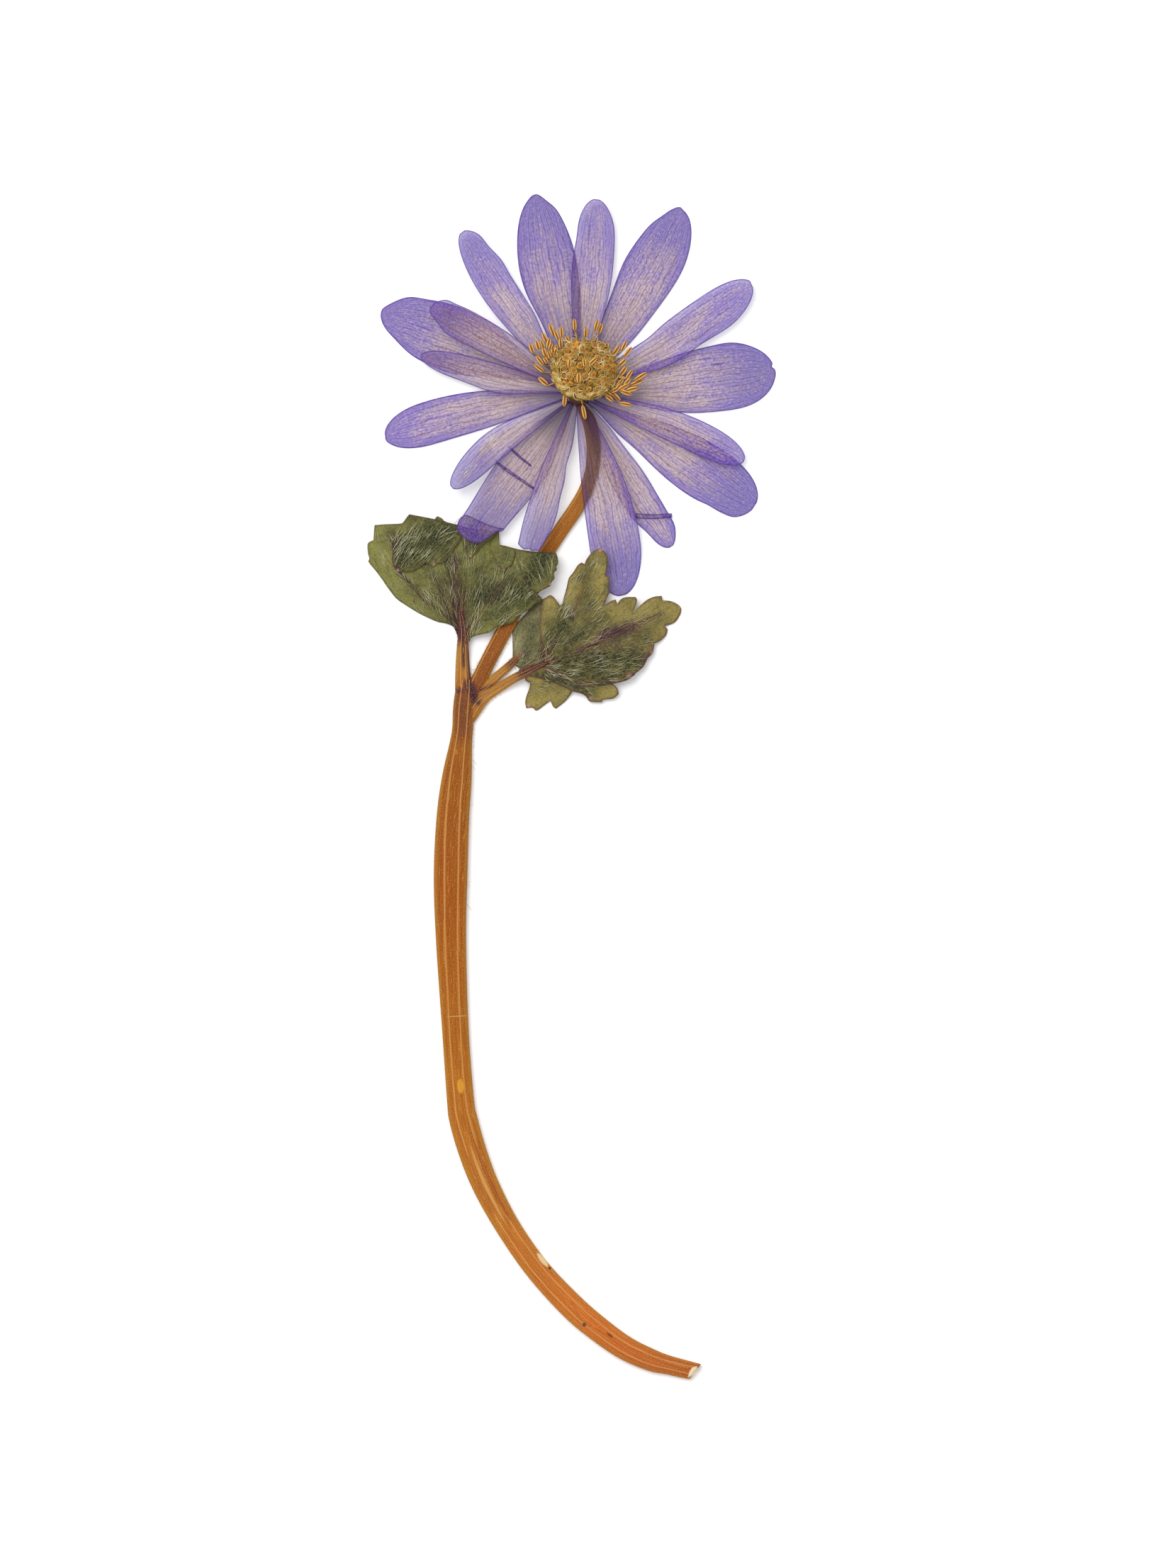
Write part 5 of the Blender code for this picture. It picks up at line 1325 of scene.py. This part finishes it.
# Bared fibre: dried strands of the tepal itself without their sap. It gives the eye a pale line.
fibre_skin = patchy_skin("bared_fibre", roughness=0.6, ior=1.4, patch=1.111, detail=2.0,
                         ramp=((0.4, "B496AE"), (0.5, "DEC8B6"), (0.6, "F6ECDE")))
TORN = TEPALS[11]
fibres = []
for fibre in BARED_FIBRES:
    route = smooth_route(fibre, FIBRE_STEP)
    away = np.hypot(route[:, 0] - HEAD[0], route[:, 1] - HEAD[1])
    fibres.append(np.column_stack([route, np.interp(away, *zip(*TORN.heights)) + FIBRE_RISE]))
fibre_piece = make_threads("tepal_12_fibres", fibres, FIBRE_WIDTH, fibre_skin)
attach(fibre_piece, "root")

# The stamens. A ring of some fifty, each a golden anther with its slit, on a thin filament that
# grows from a disc under the dome. Pressing threw them outwards, and a few fell on the dome.
DOME = (1.4, 47.1)
DISC_RADII = (3.4, 3.15)
DISC_LOW = 2.8
DISC_HIGH = 3.2
# Free end and foot of each anther
ANTHERS = (
    ((-2.46, 52.19), (-2.04, 51.0)), ((-1.9, 51.5), (-1.5, 50.5)),
    ((-1.19, 51.93), (-1.09, 50.75)), ((-0.6, 50.9), (-0.3, 50.05)),
    ((-1.26, 50.64), (-1.19, 49.5)), ((-3.26, 51.2), (-2.83, 50.2)),
    ((-3.97, 50.3), (-3.69, 49.35)), ((-4.69, 49.98), (-4.33, 48.98)),
    ((-3.43, 50.34), (-3.09, 49.41)), ((-2.47, 50.62), (-2.69, 49.55)),
    ((-1.76, 49.9), (-1.66, 48.84)), ((-2.26, 50.05), (-2.47, 49.34)),
    ((0.31, 52.77), (0.38, 51.48)), ((1.62, 51.84), (1.56, 50.74)),
    ((2.95, 52.7), (2.62, 51.48)), ((3.42, 52.27), (3.02, 51.12)),
    ((3.1, 50.34), (3.2, 49.48)), ((3.34, 49.2), (3.59, 48.2)),
    ((4.52, 49.2), (3.95, 48.41)), ((5.38, 49.77), (4.74, 48.84)),
    ((6.16, 50.27), (5.66, 49.2)), ((6.74, 49.56), (5.95, 48.56)),
    ((5.17, 47.84), (4.17, 47.2)), ((6.09, 48.2), (5.31, 47.48)),
    ((6.17, 47.41), (5.45, 46.41)), ((6.81, 46.98), (6.17, 46.05)),
    ((8.38, 46.7), (7.17, 45.91)), ((8.02, 45.91), (6.66, 45.34)),
    ((6.59, 46.05), (5.88, 45.2)), ((7.45, 45.05), (6.17, 44.7)),
    ((6.74, 44.27), (5.52, 44.7)), ((5.45, 43.56), (4.6, 44.48)),
    ((4.67, 43.56), (3.67, 44.41)), ((6.74, 43.06), (5.45, 43.34)),
    ((5.6, 45.48), (4.95, 44.77)), ((5.1, 46.77), (4.67, 46.05)),
    ((4.74, 45.91), (4.31, 44.91)), ((4.31, 44.2), (3.74, 44.63)),
    ((-3.98, 48.62), (-3.19, 47.62)), ((-4.19, 47.69), (-3.12, 46.84)),
    ((-3.69, 46.19), (-2.69, 45.34)), ((-3.12, 48.48), (-2.69, 47.77)),
    ((-2.97, 49.12), (-2.9, 48.55)), ((-0.84, 42.98), (-0.72, 44.41)),
    ((1.56, 41.55), (1.24, 43.05)), ((-2.12, 49.6), (-2.05, 48.9)),
    ((-0.2, 49.8), (0.1, 49.1)), ((4.0, 50.1), (3.9, 49.2)),
    ((-3.21, 49.48), (-2.92, 48.62)), ((-2.66, 49.19), (-2.35, 48.34)),
    ((-1.66, 49.55), (-1.92, 48.69)), ((-0.95, 49.48), (-0.73, 48.77)),
    ((6.2, 47.1), (5.3, 46.3)), ((5.8, 46.0), (5.0, 45.04)), ((5.16, 46.6), (4.7, 45.7)),
    ((6.44, 45.44), (5.5, 44.9)), ((5.3, 45.0), (4.5, 44.6)),
)
# A few more lie on the dome itself
FALLEN_ANTHERS = (((2.8, 48.34), (2.02, 47.62)), ((0.81, 45.55), (0.81, 46.69)),
                  ((1.38, 48.4), (1.52, 47.34)), ((-0.19, 48.2), (-0.26, 47.34)))
ANTHER_WIDTH = 0.54
ANTHER_LENGTHEN = 1.1
ANTHER_HEIGHT = 0.36
ANTHER_BLUNTNESS = 2.4
ANTHER_RINGS = 11
ANTHER_SIDES = 14
GROOVE_DEPTH, GROOVE_WIDTH = 0.45, 0.22
FALLEN_LEVEL = 5.35
FILAMENT_WIDTH = 0.24
FILAMENT_STEP = 0.2

# Dried anther: a waxy golden pod split along its length. It gives the eye a bright gold rim
# round a brown slit, with a little gloss, and painted shade as a dark band along its sides and
# underneath. Its grit of pollen is drawn in 0.25 mm patches, ten times too coarse, so that it
# shows.
POLLEN = 0.25
anther_skin, tree, shader = new_skin("dried_anther", 0.42, 1.45)
pod = add(tree, "SeparateXYZ", {0: (add(tree, "Attribute", attribute_name="pod"), "Vector")})
at = (add(tree, "TexCoord"), "Object")
dust = add(tree, "TexNoise", {"Vector": at, "Scale": 1 / (POLLEN * MM), "Detail": 3.0})
pod_width = add(tree, "Math", {0: (pod, "Y")}, operation="ABSOLUTE")
gold = add(tree, "ValToRGB", {0: pod_width}, ramp=(
    (0.0, "84500F"), (0.24, "6E3E0C"), (0.38, "AC681C"), (0.54, "E6AE4A"), (0.74, "F6CE74"),
    (0.86, "B0742A"), (1.0, "4E2A0E")))
gold = lay_colours(tree, gold, ((dust, 0.5, 0.8, 0.5, "A0661E"),))
tree.links.new(gold.outputs[2], shader.inputs["Base Color"])
bump = add(tree, "Bump", {"Strength": 0.4, "Distance": 0.05 * MM, "Height": dust})
tree.links.new(bump.outputs["Normal"], shader.inputs["Normal"])

# Dried filament: a flattened thread of the same growth. It gives the eye a pale gold strip.
filament_skin = patchy_skin("dried_filament", roughness=0.55, ior=1.45, patch=1.111, detail=2.0,
                            ramp=((0.3, "9A6C26"), (0.5, "C89840"), (0.7, "E4C478")))

draw = random.Random(9)
points, faces, pods, filaments = [], [], [], []
for tip, foot in ANTHERS + FALLEN_ANTHERS:
    fallen = (tip, foot) in FALLEN_ANTHERS
    tip, foot = Vector(tip), Vector(foot)
    middle, length = (tip + foot) / 2, (tip - foot).length * ANTHER_LENGTHEN
    level = FALLEN_LEVEL if fallen else DISC_HIGH + draw.uniform(-0.15, 0.35)
    ahead = (tip - foot).normalized()
    side = Vector((-ahead.y, ahead.x))
    wide = ANTHER_WIDTH * draw.uniform(0.9, 1.1)
    start = len(points)
    for ring in range(ANTHER_RINGS):
        way = -1 + 2 * ring / (ANTHER_RINGS - 1)
        fullness = max(0.02, (1 - abs(way) ** ANTHER_BLUNTNESS)) ** 0.5
        for step in range(ANTHER_SIDES):
            turn = 2 * math.pi * step / ANTHER_SIDES
            w, h = math.cos(turn), math.sin(turn)
            groove = GROOVE_DEPTH * math.exp(-(w / GROOVE_WIDTH) ** 2) if h > 0 else 0.0
            spot = middle + ahead * (way * length / 2) + side * (w * fullness * wide / 2)
            up = level + ANTHER_HEIGHT / 2 * fullness * (h - groove)
            points.append((spot.x, spot.y, up))
            # The underside counts as the pod's outer edge, so that it takes the painted shade
            pods.append((0, w if h > -0.2 else 1.0, 0))
    faces += ring_walls(start, ANTHER_RINGS, ANTHER_SIDES)
    faces += ring_ends(start, ANTHER_RINGS, ANTHER_SIDES)
    if not fallen:
        out = foot - Vector(DOME)
        angle = math.atan2(out.y / DISC_RADII[1], out.x / DISC_RADII[0])
        root = Vector(DOME) + 0.9 * Vector((DISC_RADII[0] * math.cos(angle),
                                            DISC_RADII[1] * math.sin(angle)))
        knee = (root + foot) / 2 + side * draw.uniform(-0.15, 0.15)
        filaments.append([(*root, DISC_HIGH - 0.1), (*knee, (DISC_HIGH + level) / 2),
                          (*foot, level), (*(foot + ahead * 0.2), level)])
anthers = make_piece("anthers", points, faces, anther_skin, {"pod": pods})
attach(anthers, "root")
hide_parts("stamens")
filaments = [smooth_route(line, FILAMENT_STEP) for line in filaments]
filament_piece = make_threads("filaments", filaments, FILAMENT_WIDTH, filament_skin)
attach(filament_piece, "root")
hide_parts("stamens")

# The disc the filaments grow from, a thin fleshy plate
DISC_SIDES = 48
DISC_SHAPE = ((0.0, DISC_LOW), (0.94, DISC_LOW), (1.0, DISC_LOW + 0.15), (0.97, DISC_HIGH),
              (0.0, DISC_HIGH))
points = []
for scale, up in DISC_SHAPE:
    for step in range(DISC_SIDES):
        turn = 2 * math.pi * step / DISC_SIDES
        wide = scale * (1 + 0.03 * math.cos(9 * turn))
        points.append((DOME[0] + DISC_RADII[0] * wide * math.cos(turn),
                       DOME[1] + DISC_RADII[1] * wide * math.sin(turn), up))
disc = make_piece("disc", points, ring_walls(0, len(DISC_SHAPE), DISC_SIDES), filament_skin)
weld = disc.modifiers.new("weld", "WELD")
weld.merge_threshold = 0.01 * MM
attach(disc, "root")
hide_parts("stamens")

# The carpels. A low dome closely set with small golden-brown fruits along a spiral, each with a
# pale beak that curls over and a collar of wool part of the way round it, and fine wool between
# them.
DOME_RADII = (3.5, 3.25, 1.6)
DOME_LOW = 3.5
DOME_RINGS, DOME_SIDES = 14, 40
CARPELS = 64
LOWEST_CARPEL = math.sin(math.radians(14))
CARPEL_RADIUS = 0.5
CARPEL_HEIGHT = 0.36
CARPEL_FLATNESS = 0.8
CARPEL_LUMPS = 0.2
CARPEL_RINGS, CARPEL_SIDES = 7, 10
# How far a carpel's skin comes round towards its foot, as a part of a half turn
CARPEL_ROUND = 0.62
# The bunch of filaments takes the dome's rim between these headings, and hides the lowest carpels
BUNCH_FROM, BUNCH_TO = 178, 322
UNDER_BUNCH = 0.83
BEAK_WIDTH = 0.15
BEAK_STEP = 0.19
BEAK_POINTS = 8
BEAK_FROM = 0.25
BEAK_ARCH = 0.03
COLLAR_POINTS = 9
COLLAR_LEVEL = 0.27

# Dried carpel: a small plump nut with a rough coat. It gives the eye an amber brown, no two the
# same, with a dark ring of painted shade low round it, and an olive foot.
COAT_BUMPS = 0.3846
carpel_skin, tree, shader = new_skin("dried_carpel", 0.55, 1.45)
nut = add(tree, "SeparateXYZ", {0: (add(tree, "Attribute", attribute_name="nut"), "Vector")})
at = (add(tree, "TexCoord"), "Object")
coat = add(tree, "TexNoise", {"Vector": at, "Scale": 1 / (COAT_BUMPS * MM), "Detail": 4.0,
                              "Roughness": 0.7})
rough = add(tree, "Math", {0: coat, 1: 0.5, 2: (nut, "X")}, operation="MULTIPLY_ADD")
# The dark stop at 0.32 is painted shade low on each nut and between the nuts
golden = add(tree, "ValToRGB", {0: rough}, ramp=(
    (0.15, "A88C3C"), (0.32, "5E4416"), (0.52, "C4862A"), (0.72, "E2AC4C"), (0.9, "AA6C22"),
    (1.05, "8A581C")))
age = add(tree, "TexWhiteNoise", {"W": (nut, "Z")}, noise_dimensions="1D")
golden = lay_colours(tree, golden, (((age, "Value"), 0.3, 1.0, 0.6, "7C5822"),))
tree.links.new(golden.outputs[2], shader.inputs["Base Color"])
bump = add(tree, "Bump", {"Strength": 0.6, "Distance": 0.1 * MM, "Height": coat})
tree.links.new(bump.outputs["Normal"], shader.inputs["Normal"])


def on_dome(out, turn, up):
    """A point by how far out of the dome's axis and how high it is, as parts of its radii."""
    return (DOME[0] + DOME_RADII[0] * out * math.cos(turn),
            DOME[1] + DOME_RADII[1] * out * math.sin(turn), DOME_LOW + DOME_RADII[2] * up)


def turned_walls(start, rings, sides):
    """The faces between rings that run downwards, and the one that closes the lowest ring."""
    walls = [(a, d, c, b) for a, b, c, d in ring_walls(start, rings, sides)]
    return walls + [ring_ends(start, rings, sides)[1][::-1]]


draw = random.Random(13)
points, nuts, beaks = [], [], []
for ring in range(DOME_RINGS + 1):
    fall = math.pi / 2 * ring / DOME_RINGS
    for step in range(DOME_SIDES):
        points.append(on_dome(math.sin(fall), 2 * math.pi * step / DOME_SIDES, math.cos(fall)))
        nuts.append((0.05, 0, 0))
faces = turned_walls(0, DOME_RINGS + 1, DOME_SIDES)
turn_each = math.pi * (3 - math.sqrt(5))
for number in range(CARPELS):
    up = 1 - (1 - LOWEST_CARPEL) * (number + 0.5) / CARPELS
    flat = math.sqrt(1 - up * up)
    turn = number * turn_each
    if flat > UNDER_BUNCH and BUNCH_FROM < math.degrees(turn) % 360 < BUNCH_TO:
        continue
    foot = Vector(on_dome(flat, turn, up))
    outward = Vector((math.cos(turn) * flat / DOME_RADII[0], math.sin(turn) * flat / DOME_RADII[1],
                      up / DOME_RADII[2] + 0.25)).normalized()
    rest = outward.to_track_quat("Z", "Y")
    grown = CARPEL_RADIUS * draw.uniform(0.75, 1.1)
    start = len(points)
    for ring in range(CARPEL_RINGS):
        low = ring / (CARPEL_RINGS - 1)
        fall = math.pi * CARPEL_ROUND * low
        for step in range(CARPEL_SIDES):
            angle = 2 * math.pi * step / CARPEL_SIDES
            wide = grown * (1 + CARPEL_LUMPS * draw.uniform(-1, 1)) * math.sin(fall)
            points.append(foot + rest @ Vector((
                wide * math.cos(angle), wide * math.sin(angle) * CARPEL_FLATNESS,
                CARPEL_HEIGHT * math.cos(fall))))
            nuts.append((0.85 - 0.8 * low, 0, number))
    faces += turned_walls(start, CARPEL_RINGS, CARPEL_SIDES)
    heading = draw.uniform(0, 2 * math.pi)
    spot = foot + rest @ Vector((BEAK_FROM * math.cos(heading), BEAK_FROM * math.sin(heading),
                                 BEAK_FROM))
    beak = []
    curl = draw.choice((-1, 1)) * draw.uniform(0.2, 0.5)
    for step in range(BEAK_POINTS):
        beak.append(tuple(spot))
        heading += curl + draw.uniform(-0.35, 0.35)
        spot = spot + rest @ Vector((BEAK_STEP * math.cos(heading), BEAK_STEP * math.sin(heading),
                                     BEAK_ARCH if step < 3 else -BEAK_ARCH))
    beaks.append(beak)
    begin, sweep = draw.uniform(0, 2 * math.pi), draw.uniform(2.6, 5.2)
    collar = []
    for step in range(COLLAR_POINTS):
        angle = begin + sweep * step / (COLLAR_POINTS - 1)
        out = CARPEL_RADIUS * (0.95 + 0.12 * math.sin(step * 1.1 + number))
        collar.append(tuple(foot + rest @ Vector((out * math.cos(angle), out * math.sin(angle),
                                                  COLLAR_LEVEL))))
    beaks.append(collar)
carpels = make_piece("carpel_dome", points, faces, carpel_skin, {"nut": nuts})
weld = carpels.modifiers.new("weld", "WELD")
weld.merge_threshold = 0.005 * MM
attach(carpels, "root")
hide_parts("carpels")

# Dried beak and wool: bleached plant threads, pale straw and dull
beak_skin = patchy_skin("dried_beak", roughness=0.6, ior=1.45, patch=1.25, detail=2.0,
                        ramp=((0.3, "9C843A"), (0.5, "CCB066"), (0.7, "ECDCA8")))
beak_piece = make_threads("beaks", beaks, BEAK_WIDTH, beak_skin)
WOOL_STRANDS = 110
WOOL_POINTS = 7
WOOL_STEP = 0.16
WOOL_WIDTH = 0.06
WOOL_RISE = 0.38
wool = []
for _ in range(WOOL_STRANDS):
    up = draw.uniform(LOWEST_CARPEL, 1)
    flat = math.sqrt(1 - up * up)
    turn = draw.uniform(0, 2 * math.pi)
    heading = draw.uniform(0, 2 * math.pi)
    outward = Vector((math.cos(turn) * flat, math.sin(turn) * flat, up * 2)).normalized()
    rest = outward.to_track_quat("Z", "Y")
    spot = Vector(on_dome(flat, turn, up)) + outward * WOOL_RISE
    strand = []
    for _ in range(WOOL_POINTS):
        strand.append(tuple(spot))
        heading += draw.uniform(-0.6, 0.6)
        spot = spot + rest @ Vector((WOOL_STEP * math.cos(heading),
                                     WOOL_STEP * math.sin(heading), 0.0))
    wool.append(strand)
wool_piece = make_threads("wool", wool, WOOL_WIDTH, beak_skin)
for piece in (beak_piece, wool_piece):
    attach(piece, "root")

# Below the dome the filaments of the lower stamens were pressed back along its rim, a straw
# bunch without anthers that runs up the dome's left side.
# Dried bunch: the filaments' own growth, bleached. It gives the eye straw gold with pale lines.
bunch_skin = patchy_skin("dried_filament_bunch", roughness=0.6, ior=1.45, patch=0.7143, detail=3.0,
                         ramp=((0.34, "72521A"), (0.46, "AA863A"), (0.58, "D0B068"), (0.7, "ECDAA0")))
BUNCH_STRANDS = 170
BUNCH_POINTS = 11
BUNCH_WIDTH = 0.13
BUNCH_RISE = 0.1
# Where the bunch comes down to the dome's foot, in parts of the dome's radius
BUNCH_OUTSIDE = 1.12
bunch = []
for _ in range(BUNCH_STRANDS):
    start = draw.uniform(BUNCH_FROM - 24, BUNCH_TO - 30)
    sweep = draw.uniform(20, 55)
    inner, outer = draw.uniform(0.8, 1.06), draw.uniform(0.86, 1.1)
    strand = []
    for step in range(BUNCH_POINTS):
        part = step / (BUNCH_POINTS - 1)
        turn = math.radians(start + sweep * part)
        out = inner + (outer - inner) * part + 0.03 * math.sin(part * 9 + start)
        x, y, up = on_dome(out, turn, math.sqrt(max(0.0, 1 - (out / BUNCH_OUTSIDE) ** 2)))
        strand.append((x, y, up + BUNCH_RISE))
    bunch.append(strand)
bunch_piece = make_threads("filament_bunch", bunch, BUNCH_WIDTH, bunch_skin)
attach(bunch_piece, "root")
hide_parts("stamens")

# The sheet and the light: a plain white sheet, an even overcast sky and one large soft lamp.
SHEET_HALF = 1200.0
SHEET_LEVEL = -0.02
# White paper: matt and coated. It has a painted glow, a little light of its own that lifts the
# soft shadows on it. It gives the eye an even white with a trace of cloudiness.
SHEET_PAINTED_GLOW = 0.1
SHEET_CLOUDS = 3.333
sheet_skin, tree, shader = new_skin("white_sheet", 0.9, 1.45)
shader.inputs["Specular IOR Level"].default_value = 0.1
shader.inputs["Emission Color"].default_value = (1, 1, 1, 1)
shader.inputs["Emission Strength"].default_value = SHEET_PAINTED_GLOW
clouds = add(tree, "TexNoise", {"Vector": (add(tree, "TexCoord"), "Object"),
                                "Scale": 1 / (SHEET_CLOUDS * MM), "Detail": 3.0})
white = lay_colours(tree, "F6F6F7", ((clouds, 0.0, 1.0, 1.0, "FAFAFA"),))
tree.links.new(white.outputs[2], shader.inputs["Base Color"])
corners = [(x * SHEET_HALF, y * SHEET_HALF, SHEET_LEVEL)
           for x, y in ((-1, -1), (1, -1), (1, 1), (-1, 1))]
sheet = make_piece("sheet", corners, [(0, 1, 2, 3)], sheet_skin)

SKY_STRENGTH = 0.68
LAMP_WATTS = 11.5
LAMP_WIDE = 900.0
LAMP_AT = (-400.0, 500.0, 1200.0)
world = bpy.data.worlds.new("overcast")
bpy.context.scene.world = world
world.use_nodes = True
world.node_tree.nodes["Background"].inputs["Color"].default_value = (1, 1, 1, 1)
world.node_tree.nodes["Background"].inputs["Strength"].default_value = SKY_STRENGTH
lamp_data = bpy.data.lights.new("soft_lamp", "AREA")
lamp_data.shape = "DISK"
lamp_data.size = LAMP_WIDE * MM
lamp_data.energy = LAMP_WATTS
lamp = bpy.data.objects.new("soft_lamp", lamp_data)
lamp.location = Vector(LAMP_AT) * MM
lamp.rotation_euler = Vector(LAMP_AT).to_track_quat("Z", "Y").to_euler()
bpy.context.scene.collection.objects.link(lamp)

# The camera looks straight down from 2 m through a long lens, so the picture's 0.08 mm to a
# pixel holds all over it
PIXEL = 0.08
PICTURE_HEIGHT = 2212
CAMERA_UP = 2000.0
CAMERA_OVER = (1.8, 0.4)
camera_data = bpy.data.cameras.new("camera")
camera_data.lens = camera_data.sensor_width * CAMERA_UP / (PICTURE_HEIGHT * PIXEL)
camera = bpy.data.objects.new("camera", camera_data)
camera.location = (CAMERA_OVER[0] * MM, CAMERA_OVER[1] * MM, CAMERA_UP * MM)
bpy.context.scene.collection.objects.link(camera)
bpy.context.scene.camera = camera
bpy.context.scene.view_settings.view_transform = "Standard"
